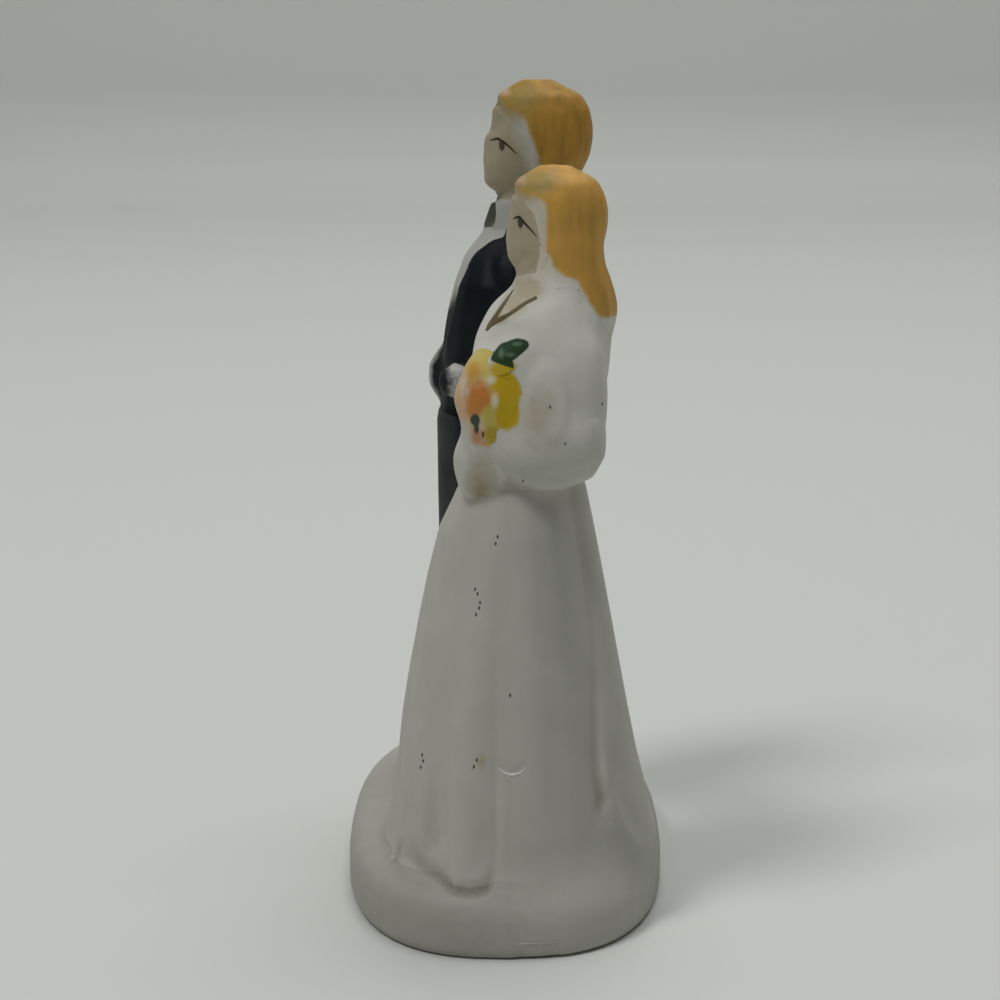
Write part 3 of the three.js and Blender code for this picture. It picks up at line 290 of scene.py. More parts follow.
# the brows, cheeks and chins, in front of the hair
groom, bride = (x < -5) & (z > 83), (x > 7) & (z > 79)
groom_hair, bride_hair = ground("groom_hair"), ground("bride_hair")
rise += groom * ramp(y, 2.2, 0.7) * ramp(groom_hair, 0.4, 0) * bumps(z, GROOM_BROW)
rise += groom * ramp(y, -0.5, -2) * ramp(ground("groom_head"), -0.4, 0) * bumps(z, GROOM_CHIN)
rise += bride * ramp(y, 3.2, 1.7) * ramp(bride_hair, 0.4, 0) * bumps(z, BRIDE_BROW)
rise += bride * ramp(y, 2.5, 1) * bumps(z, BRIDE_CHEEK)
# the comb's lines in the hair, and the fullness of the bride's back below it
hair = np.clip(np.maximum(groom_hair, bride_hair), 0, 1)
combed = [noise.noise((a * COMB_PITCH, b * COMB_PITCH, c * COMB_RUN)) if h else 0
          for a, b, c, h in zip(x, y, z, hair)]
rise += COMB_DEPTH * hair * np.array(combed)
rise += BACK_RISE * (x > 7) * (z > 66) * hump(z, BACK_MIDDLE, BACK_HALF) * ramp(y, 9, 11)
skin_points += outward(skin_points, skin_faces) * rise[:, None] * MM
work_over(SMOOTHED_BROWS, only_hollows=True)
softer = sponged(skin_points, skin_faces, 3 * SPONGING)
skin_ways = outward(skin_points, skin_faces)
skin_crease = np.einsum("ij,ij->i", softer - skin_points, skin_ways) / MM
# painted shade deepened along the groove at the hem's lobes
skin_crease += LOBE_SHADE * on_hem * hump(in_hem, -0.1, 0.4)
skin = BVHTree.FromPolygons(skin_points.tolist(), skin_faces.tolist())

# Pieces. How a piece is made from its CAD node: its points are laid on the skin where they show, a hair
# under it where a neighbour takes over, and stay inside where they are hidden.
OVERLAP = 0.6 * MM
SHOWS_WITHIN = 3 * MM
UNDERCUT = 0.12 * MM
EDGE_STEP = 0.04 * MM
BLENDED = 0.018 * MM
EDGE_WIDTH = 0.35 * MM
BRUSH_SIZE = 0.7 * MM
CORNER_BLUR = 0.01 * MM


def cast(node, grid, brush=0.0):
    """A CAD node in clay: its points, its faces, the way each point's surface faces and how deep in a crease
    it lies. Brush roughens the piece's edge, in mm."""
    points, faces = gridded(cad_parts[node].data, grid)
    normals = outward(points, faces)
    points = points + normals * OVERLAP
    hits = [skin.find_nearest(point, 2 * SHOWS_WITHIN) for point in points]
    near = np.array([hit[0] is not None for hit in hits])
    hits = [hit for hit in hits if hit[0] is not None]
    spots = np.array([hit[0] for hit in hits])
    ways = np.array([hit[1] for hit in hits])
    corners = skin_faces[[hit[2] for hit in hits]]
    share = 1 / (np.linalg.norm(skin_points[corners] - spots[:, None], axis=2) + CORNER_BLUR)
    share /= share.sum(1, keepdims=True)
    inside = -(border[corners, owners.index(node)] * share).sum(1)
    if brush:
        inside += [brush * MM * noise.noise(spot / BRUSH_SIZE) for spot in map(Vector, spots)]
    above = np.einsum("ij,ij->i", points[near] - spots, ways)
    shows = ramp(np.einsum("ij,ij->i", normals[near], ways), -0.25, 0.25)
    shows *= ramp(above, -2 * SHOWS_WITHIN, -SHOWS_WITHIN) * ramp(inside / MM, -2.5, -2)
    blended = (alike[corners] * share).sum(1)
    step = blended * BLENDED + (1 - blended) * np.where(inside > 0, EDGE_STEP, UNDERCUT)
    height = shows * step * np.clip(inside / EDGE_WIDTH, -1, 1)
    height += (1 - shows) * np.minimum(above, -UNDERCUT)
    points[near] = spots + ways * height[:, None]
    points[:, 2] = np.maximum(points[:, 2], 0)
    crease = np.zeros(len(points))
    crease[near] = (skin_crease[corners] * share).sum(1)
    facing = outward(points, faces)
    smooth = (skin_ways[corners] * share[..., None]).sum(1)
    facing[near] += (smooth - facing[near]) * shows[:, None]
    return points, faces, facing, crease


def place(name, node, mesh, material):
    """Puts a mesh in place of a CAD node, or of a part of it."""
    mesh.shade_smooth()
    mesh.materials.append(material)
    piece = bpy.data.objects.new(name, mesh)
    scene.collection.objects.link(piece)
    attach(piece, "root")
    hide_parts(node)


def settle(name, node, made, material, painted=None):
    """Puts a cast piece in place. Painted gives how far inside the paint each point lies, in mm."""
    points, faces, facing, crease = made
    mesh = clay(points, faces)
    mesh.attributes.new("crease", "FLOAT", "POINT").data.foreach_set("value", crease)
    if painted:
        mesh.attributes.new("paint", "FLOAT", "POINT").data.foreach_set("value", painted(*(points / MM).T))
    place(name, node, mesh, material)
    mesh.normals_split_custom_set_from_vertices(facing.tolist())


# Plinth. One oval casting of white bisque with a soft top edge. Bisque is porcelain fired without a glaze:
# dead matt, faintly mottled, with a fine tooth, and painted shade darkening the creases.
BISQUE = ("bebdb5", "b8b7af")
# the plinth's white, darker than the skirt's as painted shade
SHADED_PLINTH_BISQUE = ("adaca4", "a7a69e")
# the olive grey that the creases darken to, as painted shade
CREASE_SHADE = "857f66"
# stations of the painted highlight along the chipped edge of the plinth's foot
PLINTH_CHIP_HIGHLIGHT = ((1.4, 2, 0.02), (1.8, 2.1, 0.06), (3, 2.1, 0.03), (6.4, 2.1, 0.01))
FROM_BRIDE_SIDE = (40, -1)
STROKE_RISE, STROKE_STEP, STROKE_LEAST, STROKE_ACROSS = 0.08 * MM, 0.15, 5, 5
CLOUD_LOW, CLOUD_HIGH = 0.32, 0.68
RAGGED_SIZE, STREAK_SIZE, STREAK_RUN = 1.1, 1.6, (1, 1, 0.22)
GRAIN_SIZE, GRAIN_DEPTH = 0.45, 0.05
CREASE_STARTS, CREASE_FULL = 0.05, 0.35


def linear(hex_colour):
    """An sRGB hex colour as linear red, green, blue and alpha."""
    parts = [int(hex_colour[k : k + 2], 16) / 255 for k in (0, 2, 4)]
    return [p / 12.92 if p <= 0.04045 else ((p + 0.055) / 1.055) ** 2.4 for p in parts] + [1]


def add(material, kind, inputs, **settings):
    """Adds a shader node with its settings; an input is a value or the output socket that feeds it."""
    node = material.node_tree.nodes.new("ShaderNode" + kind)
    for name, value in settings.items():
        setattr(node, name, value)
    for name, value in inputs.items():
        if isinstance(value, bpy.types.NodeSocket):
            material.node_tree.links.new(value, node.inputs[name])
        else:
            node.inputs[name].default_value = value
    return node


def mottled(material, where, tones, size):
    """The socket of a colour that wanders between two tones, in clouds of a size in mm."""
    cloud = add(material, "TexNoise", {"Vector": where, "Scale": 1 / (size * MM), "Detail": 6.0})
    spread = {"Value": cloud.outputs[0], "From Min": CLOUD_LOW, "From Max": CLOUD_HIGH}
    first, second = map(linear, tones)
    layers = {0: add(material, "MapRange", spread).outputs[0], 6: first, 7: second}
    return add(material, "Mix", layers, data_type="RGBA").outputs[2]


def fired(name, tones, roughness, tooth, gloss=0.3, cloud=4, over=None, rim=0.25, first=(), dabs=(),
          crease_shade_share=0.5):
    """A fired clay surface: a mottled colour, a second colour painted over it, dabs of paint, painted shade
    darkening the creases and a fine tooth. A dab has a colour, a centre and a reach in mm, and the softness
    of its rim; the first dabs lie under the second colour."""
    material = bpy.data.materials.new(name)
    material.use_nodes = True
    shader = material.node_tree.nodes["Principled BSDF"]
    shader.inputs["Roughness"].default_value = roughness
    shader.inputs["Specular IOR Level"].default_value = gloss
    where = add(material, "TexCoord", {}).outputs["Object"]
    tears = add(material, "TexNoise", {"Vector": where, "Scale": 1 / (RAGGED_SIZE * MM), "Detail": 5.0})
    ragged = add(material, "Math", {0: tears.outputs[0], 1: 0.5}, operation="SUBTRACT").outputs[0]
    colour = mottled(material, where, tones, cloud)
    for layer in (*first, "paint", *dabs):
        if layer == "paint" and not over:
            continue
        if layer == "paint":
            far = add(material, "Attribute", {}, attribute_name="paint").outputs["Fac"]
            torn = add(material, "Math", {0: ragged, 1: 3 * rim, 2: far}, operation="MULTIPLY_ADD")
            cover = add(material, "MapRange", {"Value": torn.outputs[0], "From Min": -rim, "From Max": rim})
            streaks = add(material, "Mapping", {"Vector": where, "Scale": STREAK_RUN}).outputs[0]
            paint = mottled(material, streaks, over, STREAK_SIZE)
        else:
            tone, centre, reach, soft = layer
            middle, size = [c * MM for c in centre], [r * MM for r in reach]
            offset = add(material, "VectorMath", {0: where, 1: middle}, operation="SUBTRACT").outputs[0]
            scaled = add(material, "VectorMath", {0: offset, 1: size}, operation="DIVIDE").outputs[0]
            far = add(material, "VectorMath", {0: scaled}, operation="LENGTH").outputs["Value"]
            tear = min(1, 2 * soft)
            torn = add(material, "Math", {0: ragged, 1: tear, 2: far}, operation="MULTIPLY_ADD").outputs[0]
            cover = add(material, "MapRange", {"Value": torn, "From Min": 1 + soft, "From Max": 1 - soft})
            paint = linear(tone)
        layers = {0: cover.outputs[0], 6: colour, 7: paint}
        colour = add(material, "Mix", layers, data_type="RGBA").outputs[2]
    # painted shade: the deeper a point lies in a crease, the more its colour darkens to the crease colour
    crease = add(material, "Attribute", {}, attribute_name="crease").outputs["Fac"]
    depths = {"Value": crease, "From Min": CREASE_STARTS, "From Max": CREASE_FULL, "To Max": crease_shade_share}
    layers = {0: add(material, "MapRange", depths).outputs[0], 6: colour, 7: linear(CREASE_SHADE)}
    colour = add(material, "Mix", layers, data_type="RGBA").outputs[2]
    grain = {"Vector": where, "Scale": 1 / (GRAIN_SIZE * MM), "Detail": 3.0}
    grain = add(material, "TexNoise", grain).outputs[0]
    bump = {"Height": grain, "Strength": tooth, "Distance": GRAIN_DEPTH * MM}
    bump = add(material, "Bump", bump).outputs[0]
    material.node_tree.links.new(bump, shader.inputs["Normal"])
    material.node_tree.links.new(colour, shader.inputs["Base Color"])
    return material


def brushed(name, node, material, strokes):
    """Brush strokes on the skin. A stroke is laid from a place on the X axis, looking one way along it, and
    runs through stations of y, z and half width in mm."""
    points, faces = [], []
    for start_x, way, stations in strokes:
        stations = np.array(stations, float)
        run = np.r_[0, np.cumsum(np.linalg.norm(np.diff(stations[:, :2], axis=0), axis=1))]
        at = np.linspace(0, run[-1], max(STROKE_LEAST, round(run[-1] / STROKE_STEP)))
        path = np.stack([np.interp(at, run, column) for column in stations.T], 1)
        path[1:-1] = (path[:-2] + 2 * path[1:-1] + path[2:]) / 4
        hits = [skin.ray_cast(Vector((start_x, y, z)) * MM, Vector((way, 0, 0))) for y, z, _ in path]
        along = np.gradient(np.array([hit[0] for hit in hits]), axis=0)
        first, wide, count = len(points), STROKE_ACROSS, len(path)
        for (spot, normal, _, _), (_, _, half), step in zip(hits, path, along):
            across = Vector(step).cross(normal).normalized()
            for k in np.linspace(half, -half, wide):
                place_at, facing, _, _ = skin.find_nearest(spot + across * k * MM)
                points += [place_at + facing * STROKE_RISE, place_at - facing * STROKE_RISE]
        numbers = np.arange(count * wide * 2).reshape(count, wide, 2) + first
        top, under = numbers[..., 0], numbers[..., 1]
        rim = np.concatenate([top[:-1, 0], top[-1, :-1], top[:0:-1, -1], top[0, :0:-1]])
        quads = [np.stack([s[:-1, :-1], s[1:, :-1], s[1:, 1:], s[:-1, 1:]], -1).reshape(-1, 4)
                 for s in (top, under)]
        quads[1] = quads[1][:, ::-1]
        quads.append(np.stack([np.roll(rim, -1), rim, rim + 1, np.roll(rim, -1) + 1], -1))
        faces += [quad for block in quads for quad in block.tolist()]
    mesh = bpy.data.meshes.new(name)
    mesh.from_pydata(points, [], faces)
    place(name, node, mesh, material)


# bisque darkened all over as painted shade: flat and dull, with the skirt's lighter white beside the train
plinth_bisque = fired("plinth bisque in painted shade", SHADED_PLINTH_BISQUE, roughness=0.7, tooth=0.35, dabs=(
    (BISQUE[0], (31, 11, 5), (18, 11, 9), 0.6),
))
settle("plinth_casting", "base_plinth", cast("base_plinth", grid=0.4 * MM), plinth_bisque)
# a painted highlight along the lip of a break: a thin line brighter than the bisque round it
chip_highlight = fired("painted highlight on broken bisque", ("e6e4de", "dcdad4"), roughness=0.6, tooth=0.1)
brushed("plinth_chip_highlight", "base_plinth", chip_highlight, [(*FROM_BRIDE_SIDE, PLINTH_CHIP_HIGHLIGHT)])

# Bride's skirt. A hollow bell of white bisque, pressed with soft folds that end as rounded lobes on the
# plinth. The mould seam runs down its left side, and a small crescent has been chipped out across it.
LIP_HALF, LIP_TAPER = 0.17, 0.14
CHIP_LIP_HIGHLIGHT = [(CHIP_MIDDLE + a * CHIP_HALF, CHIP_LOW + CHIP_CURVE * a**2, LIP_HALF - LIP_TAPER * abs(a))
            for a in (-1, -0.5, 0, 0.5, 1)]
SPECK_ROWS = ((-0.8, 48.6, 2), (-3.2, 41.5, 5), (0.7, 31, 1), (-10, 22, 3), (-3.4, 23, 2))
SPECK_STEP, SPECK_STRAY, SPECK_JITTER = 0.75, 0.3, 0.4
SPECK_TIP, SPECK_LEAN = 0.03, 0.05


def speck(y, z, reach, half):
    """The stroke of one speck at a place, of a reach up and down and a half width in mm."""
    stations = ((y, z - reach, SPECK_TIP), (y, z, half), (y + SPECK_LEAN, z + reach, SPECK_TIP))
    return (*FROM_BRIDE_SIDE, stations)


# unglazed porcelain: white, dead matt and faintly mottled, darker than the bodice's white as painted shade,
# with one stain beside the chip
white_bisque = fired("white bisque porcelain", BISQUE, roughness=0.7, tooth=0.35, dabs=(
    ("aaa486", (28, -2.7, 22.9), (6, 0.4, 0.8), 0.8),
))
settle("bride_skirt_casting", "bride_skirt", cast("bride_skirt", grid=0.33 * MM),
       white_bisque)
# a painted highlight along the upward lip of the chip in the skirt
brushed("bride_skirt_chip_highlight", "bride_skirt", chip_highlight, [(*FROM_BRIDE_SIDE, CHIP_LIP_HIGHLIGHT)])
# specks burnt into the surface in the kiln: black dots the size of a pin's point
kiln_speck = fired("black kiln speck", ("4a463a", "332f26"), roughness=0.6, tooth=0.1)
skirt_specks = []
for row_y, row_z, count in SPECK_ROWS:
    for k in range(count):
        speck_y = row_y + SPECK_STRAY * math.sin(5 * k + row_z)
        speck_z = row_z + SPECK_STEP * (k - count / 2 + SPECK_JITTER * math.sin(3 * k))
        skirt_specks.append(speck(speck_y, speck_z, reach=0.2, half=0.13))
brushed("bride_skirt_specks", "bride_skirt", kiln_speck, skirt_specks)

# Bride's train. A panel of white bisque down the back of the skirt, stuck on along its edges, that sweeps
# out over the plinth.
settle("bride_train_casting", "bride_train", cast("bride_train", grid=0.36 * MM),
       white_bisque)

# Bride's bodice. Pressed with the shoulders in white bisque and stuck into the skirt's top, with a thin
# flesh wash in the open neck, an olive gold V drawn round it, and the edges of the posy's leaf and yellow.
# the same bisque as the skirt, lighter as painted light on the upper body
GOWN = ("d8d7cf", "cecdc5")
FLESH_WASH = "b9af97"
YELLOW_DABS = (
    ("c4a515", (26, 0.1, 66.0), (3.5, 1.7, 2.3), 0.15),
    ("c4a515", (26, 0.25, 63.6), (3.5, 1.5, 2.1), 0.15),
)
NECKLINE = (((-2.2, 72.3, 0.2), (-1.9, 72.8, 0.7), (-0.5, 74.9, 0.6), (1, 76.8, 0.15)),
            ((-2.1, 72.5, 0.2), (-1, 73.6, 0.4), (0.6, 74.6, 0.3), (2.3, 75.7, 0.27), (3.7, 76.4, 0.24)))
LEAF = ("28472b", "1f3a1c")
LEAF_SPINE = ((0.1, 69, 0.95), (-0.5, 69.5, 1.15), (0.2, 70.4, 1.15), (1.5, 71.1, 0.9), (2.1, 71.3, 0.65))
LEAF_FOOT, LEAF_SLANT = 68.9, 0.33
LEAF_RIM, LEAF_DISCS, UNPAINTED = 0.08, 25, -5
LEAF_VEINS = (
    ("5d7456", (26, -0.4, 70.3), (3, 0.3, 0.5), 0.6),
    ("5d7456", (26, 0.6, 70.2), (3, 0.5, 0.25), 0.6),
    ("5d7456", (26, 1.4, 71.4), (3, 0.5, 0.2), 0.6),
)


def leaf_paint(x, y, z):
    """How far inside the painted leaf each point lies: discs along its spine, cut off at the foot."""
    at = np.linspace(0, len(LEAF_SPINE) - 1, LEAF_DISCS)
    discs = zip(*(np.interp(at, range(len(LEAF_SPINE)), column) for column in zip(*LEAF_SPINE)))
    inside = np.max([half - np.hypot(y - u, z - v) for u, v, half in discs], 0)
    return np.where(x > BRIDE_MIDDLE, np.minimum(inside, z - LEAF_FOOT + LEAF_SLANT * y), UNPAINTED)


# a brighter white than the skirt's, as painted light on the upper body: matt, with a buff tint at the neck,
# soft smudges of painted shade low on the sleeves and smudges of colour
gown = fired("white bisque with thin washes", GOWN, roughness=0.7, tooth=0.35, first=(
    (FLESH_WASH, (22, 2.4, 77.3), (7, 2.1, 1.4), 0.4),
    (FLESH_WASH, (22, 0.9, 75.4), (6, 1.5, 1.1), 0.4),
    (FLESH_WASH, (23, -0.6, 74), (5, 0.8, 0.7), 0.4),
    ("b9b19f", (27, 3.7, 63.2), (3, 2.0, 2.8), 0.7),
    # painted shade: a grey smudge low on the sleeves
    ("b6b5ac", (26, 3.5, 56), (7, 9, 3.4), 0.9),
    *YELLOW_DABS,
), over=LEAF, rim=LEAF_RIM, dabs=LEAF_VEINS)
settle("bride_bodice_casting", "bride_bodice", cast("bride_bodice", grid=0.33 * MM), gown,
       leaf_paint)
# a dark olive line with a faint sheen, the only drawn line on the dress
gold_line = fired("olive gold line paint", ("6e6340", "5f5536"), roughness=0.5, tooth=0.2)
neckline = [(*FROM_BRIDE_SIDE, line) for line in NECKLINE]
brushed("bride_neckline", "bride_bodice", gold_line, neckline)

# Bride's sleeves. Each is a pressed puff over the shoulder and a full flounce over the forearm, in white
# bisque, stuck to the bodice and to each other and sponged until they run together like a cape.
SLEEVE_SPECKS = ((5.17, 64.4), (2.1, 55.3), (11.2, 64.4), (6.9, 60.2))
for side in ("left", "right"):
    for part in ("puff", "flounce"):
        node = f"bride_{side}_sleeve_{part}"
        settle(node + "_casting", node, cast(node, grid=0.33 * MM), gown, leaf_paint)
sleeve_specks = [speck(y, z, reach=0.16, half=0.1) for y, z in SLEEVE_SPECKS]
brushed("bride_sleeve_specks", "bride_left_sleeve_flounce", kiln_speck, sleeve_specks)

# Bride's veil. A short white drape down the back and a raised strip at each side of the face, pressed with
# the head and left unpainted.
CREAM = ("d6cfbc", "cbc4b1")
settle("bride_veil_casting", "bride_veil", cast("bride_veil", grid=0.33 * MM), gown,
       leaf_paint)
# bare clay that has yellowed a little: a matt cream strip between the face and the hair
cream_white = fired("cream white of the veil's edge", CREAM, roughness=0.7, tooth=0.35)
for node in ("bride_left_veil_edge", "bride_right_veil_edge"):
    settle(node + "_casting", node, cast(node, grid=0.25 * MM), cream_white)

# Bride's head. A pressed head on a neck plug, washed with a flesh tint that leaves it matt. The hair paint
# runs down to a brushed line, and the eyes are two touches of a fine brush, with no mouth painted.
FLESH = ("b6ab93", "a99e87")
BRIDE_GOLD = ("d9a64a", "bf944a")
BRIDE_HAIRLINE = ((-1, 90.5), (1.3, 88.9), (1.9, 88.2), (4.2, 87.6), (4.9, 87), (4.9, 81.6), (6, 79.4),
                  (8.4, 78.2), (10.5, 74.5), (11.8, 73.6), (16, 73.5))
BRIDE_FRINGE = (("a28b4c", (17, 3.4, 89.3), (6, 2.6, 1.4), 0.5),
                ("bb9c7c", (17, 1.9, 89.5), (5, 0.6, 0.5), 0.6))
BRIDE_LASH = ((1, 85.1, 0.05), (1.7, 85.4, 0.15), (2.4, 84.6, 0.12), (3.4, 83.6, 0.07), (3.7, 83.2, 0.02))
BRIDE_IRIS = ((1.8, 85.2, 0.36), (1.8, 84.9, 0.48), (1.8, 84.5, 0.46), (1.8, 84.1, 0.14))
BESIDE_HEAD = 8


def bride_hair_paint(x, y, z):
    """How far inside the bride's painted hairline each point lies, in mm."""
    return left_of(BRIDE_HAIRLINE, y, z)


# a matt buff wash, with streaks of gold that end in a soft ragged edge over the brow
bride_flesh = fired("flesh wash and gold hair paint", FLESH, roughness=0.65, tooth=0.3, over=BRIDE_GOLD,
                    dabs=BRIDE_FRINGE)
settle("bride_head_casting", "bride_head", cast("bride_head", grid=0.26 * MM), bride_flesh,
       bride_hair_paint)
# a soft brown for the eye and a near black one for the lid, the sharpest lines on the head
iris_paint = fired("thin brown eye paint", ("574d3e", "463d30"), roughness=0.5, tooth=0.1)
lash_paint = fired("dark brown eye paint", ("30281c", "241d14"), roughness=0.5, tooth=0.1)


def eyes(who, middle, iris, lash):
    """Paints both eyes of a head with its middle at a place on the X axis, in mm."""
    for part, line, paint in (("irises", iris, iris_paint), ("lashes", lash, lash_paint)):
        strokes = [(middle + BESIDE_HEAD * side, -side, line) for side in (1, -1)]
        brushed(f"{who}_{part}", f"{who}_head", paint, strokes)


eyes("bride", BRIDE_MIDDLE, BRIDE_IRIS, BRIDE_LASH)

# Bride's hair. A pressed fall of long hair, brushed with streaky gold paint down to a ragged lower edge; the
# clay below the paint stays white.
UNDER_HAIR = (
    (FLESH[0], (17, 1.6, 88.1), (8, 2.6, 1.4), 0.4),
    (GOWN[0], (20, 9, 75.5), (12, 8, 3.6), 0.3),
)
# streaky gold with a satin look and a coarse tooth, white where the brush stopped
bride_gold = fired("gold hair paint on white", CREAM, roughness=0.55, tooth=0.5, first=UNDER_HAIR,
                   over=BRIDE_GOLD, dabs=BRIDE_FRINGE)
settle("bride_hair_casting", "bride_hair", cast("bride_hair", grid=0.28 * MM), bride_gold,
       bride_hair_paint)

# Bride's hands. Small pressed hands under the sleeves, one on the posy and one on the groom's side. A thin
# flesh wash covers them loosely.
HAND_WHITE = ("cbcac1", "c2c1b8")
# white clay with a buff tint that covers only half of it
hand_wash = fired("loose flesh wash on white", HAND_WHITE, roughness=0.7, tooth=0.3, dabs=(
    ("a09478", (21.5, -2.7, 54.2), (5, 1.4, 3.4), 0.7),
    ("a3977c", (6, 2, 57), (6, 6, 5), 0.7),
))
for node in ("bride_left_hand", "bride_right_hand"):
    settle(node + "_casting", node, cast(node, grid=0.28 * MM), hand_wash)

# Groom's trousers and shoes. One pressed column for both legs, in thin and cloudy charcoal paint, and two
# shoe tips in the coat's black.
COAT = ("0f141a", "161b21")
TROUSERS = ("3c3f40", "2f3233")
# a dark grey, nearly matt, that stays lighter than the coat
charcoal = fired("charcoal trouser paint", TROUSERS, roughness=0.55, tooth=0.3, gloss=0.15, dabs=(
    (COAT[0], (-6, -3.5, 57), (9, 2.2, 5), 0.5),
), crease_shade_share=0.05)
settle("groom_trousers_casting", "groom_trousers", cast("groom_trousers", grid=0.36 * MM),
       charcoal)
# a blue black with hardly any shine, the darkest thing on the figure
coat_black = fired("black coat paint", COAT, roughness=0.5, tooth=0.3, gloss=0.12, crease_shade_share=0.05)
for node in ("groom_left_shoe", "groom_right_shoe"):
    settle(node + "_casting", node, cast(node, grid=0.28 * MM), coat_black)

# Groom's shirt front, waistcoat and collar. Left as white bisque between the lapels, with the coat's black
# running over the near side of the waistcoat.
SHIRT = ("b6b5af", "afaea8")
# a greyed matt white, cut by a black blotch from the coat's brush
shirt_white = fired("white bisque with black overrun", SHIRT, roughness=0.7, tooth=0.3, dabs=(
    (COAT[0], (-8, -8, 64), (5, 4, 10), 0.15),
))
for node in ("groom_shirt_front", "groom_waistcoat", "groom_collar"):
    settle(node + "_casting", node, cast(node, grid=0.28 * MM), shirt_white)

# Groom's cravat. A small pressed wedge of clay in grey olive paint, stuck on over the collar, with its top
# tucked in under the chin.
TUCK_STARTS, TUCK_ENDS, TUCKED_IN = 84.6, 85, 0.9
# a muted grey olive between the coat's black and the shirt's white
cravat_grey = fired("grey olive cravat paint", ("55584c", "464940"), roughness=0.5, tooth=0.3)
cravat = cast("groom_cravat", grid=0.22 * MM)
cravat_points = cravat[0]
cravat_points[:, 1] += ramp(cravat_points[:, 2] / MM, TUCK_STARTS, TUCK_ENDS) * TUCKED_IN * MM
settle("groom_cravat_casting", "groom_cravat", cravat, cravat_grey)

# Groom's coat, tails and sleeves. Pressed with the body and painted in the blue black of the shoes, with a
# brushed edge at the shirt.
for node in ("groom_coat", "groom_coat_tails", "groom_left_sleeve", "groom_right_sleeve"):
    settle(node + "_casting", node, cast(node, grid=0.33 * MM, brush=0.15), coat_black)

# Groom's hands. Pressed with the sleeves: the left one is a fist whose white has worn through a black
# overrun, the right one has a flesh wash.
WORN = ("c4c4bf", "2c2f32")
# broken patches of black and white, with the white clearest along the knuckles
worn_white = fired("worn white over black", WORN, roughness=0.6, tooth=0.3, cloud=0.9, dabs=(
    ("c8c6be", (-4, -6, 64.8), (6, 2.5, 1.0), 0.3),
    (COAT[0], (-5, -8.6, 62), (6, 1.5, 4), 0.25),
))
settle("groom_left_hand_casting", "groom_left_hand", cast("groom_left_hand", grid=0.26 * MM),
       worn_white)
# the plain matt buff of the bride's face
flesh_wash = fired("flesh wash", FLESH, roughness=0.65, tooth=0.3)
settle("groom_right_hand_casting", "groom_right_hand",
       cast("groom_right_hand", grid=0.28 * MM), flesh_wash)

# Groom's head and hair. Made like the bride's: a flesh wash, a white gap at the temple where neither colour
# reached, gold hair that dulls to olive and buff at the front, and the same two touches for each eye.
GROOM_HAIRLINE = ((-2, 101), (-0.7, 99.3), (-0.3, 98), (0.4, 97.1), (2.4, 96), (4.1, 91.5), (5.1, 88),
                  (6.2, 86.3), (14, 85.5))
GROOM_LASH = ((-1.9, 92.8, 0.05), (-0.9, 93.1, 0.16), (0, 92.6, 0.13), (0.8, 91.9, 0.09), (1.5, 91.2, 0.02))
GROOM_IRIS = ((-0.4, 92.9, 0.3), (-0.4, 92.6, 0.44), (-0.4, 92, 0.42), (-0.4, 91.6, 0.12))
GROOM_MIDDLE = -14
GROOM_FLESH = ("aba188", "9f957d")
GROOM_GOLD = ("c5963c", "a07a30")


def groom_hair_paint(x, y, z):
    """How far inside the groom's painted hairline each point lies, in mm."""
    return left_of(GROOM_HAIRLINE, y, z)


# a greyer buff than the bride's, under a deeper gold
groom_paint = fired("flesh wash and gold paint", GROOM_FLESH, roughness=0.6, tooth=0.4, first=(
    ("b9b7ad", (-8, 2.5, 94.3), (5, 1.1, 2.0), 0.8),
    ("b9b7ad", (-8, 3.5, 91.6), (5, 0.9, 2.2), 0.8),
), over=GROOM_GOLD, dabs=(
    ("98803a", (-11, 2.0, 98.2), (7, 2.6, 2.0), 0.5),
    ("bb9c7c", (-11, 0.0, 99.0), (5, 0.6, 0.5), 0.6),
))
settle("groom_head_casting", "groom_head", cast("groom_head", grid=0.26 * MM), groom_paint,
       groom_hair_paint)
settle("groom_hair_casting", "groom_hair", cast("groom_hair", grid=0.28 * MM), groom_paint,
       groom_hair_paint)
eyes("groom", GROOM_MIDDLE, GROOM_IRIS, GROOM_LASH)

# Posy. A lump of clay with pressed blooms, dabbed with a wet brush in yellow, orange, peach and a little
# slate green, so that the colours stray over the blooms' edges. A green leaf lies on top and a ribbon hangs
# below.
POSY_DABS = (
    ("d2ad8a", (24, -4.8, 64.4), (5, 1.2, 3.4), 0.5),
    ("d6cdb8", (24, -4.3, 66.4), (5, 0.8, 1.6), 0.5),
    ("cdbb62", (24, -1.8, 68.9), (6, 2.5, 1.9), 0.5),
    ("c99a44", (24, -3.6, 67.9), (5, 0.9, 1.3), 0.5),
    *YELLOW_DABS,
    ("c17a35", (25, -2.9, 65.3), (4, 1.6, 1.7), 0.35),
    ("c4823b", (25, -3.6, 64.0), (4, 0.9, 1.2), 0.35),
    ("d9d2b4", (26, -1.6, 67.3), (3, 0.5, 0.4), 0.5),
    ("d9d2b4", (26, -1.2, 65.0), (3, 0.4, 0.9), 0.5),
    ("c6b455", (26, -1.9, 62.9), (3, 0.7, 1.2), 0.5),
    ("b39c2e", (26, -1.4, 60.8), (3, 1.2, 1.2), 0.3),
    ("c58f74", (25, -3.3, 60.6), (4, 0.8, 1.3), 0.4),
    ("414a3c", (25, -3.45, 62.6), (3, 0.6, 0.8), 0.2),
    ("414a3c", (25, -3.3, 61.7), (3, 0.3, 0.8), 0.2),
    ("4a3a26", (25, -2.55, 60.9), (3, 0.15, 0.45), 0.3),
    ("c4c3ba", (24, -5.3, 60.1), (5, 1.3, 2.2), 0.35),
    ("c4c3ba", (24, -3.6, 58.5), (5, 2.4, 1.0), 0.3),
)
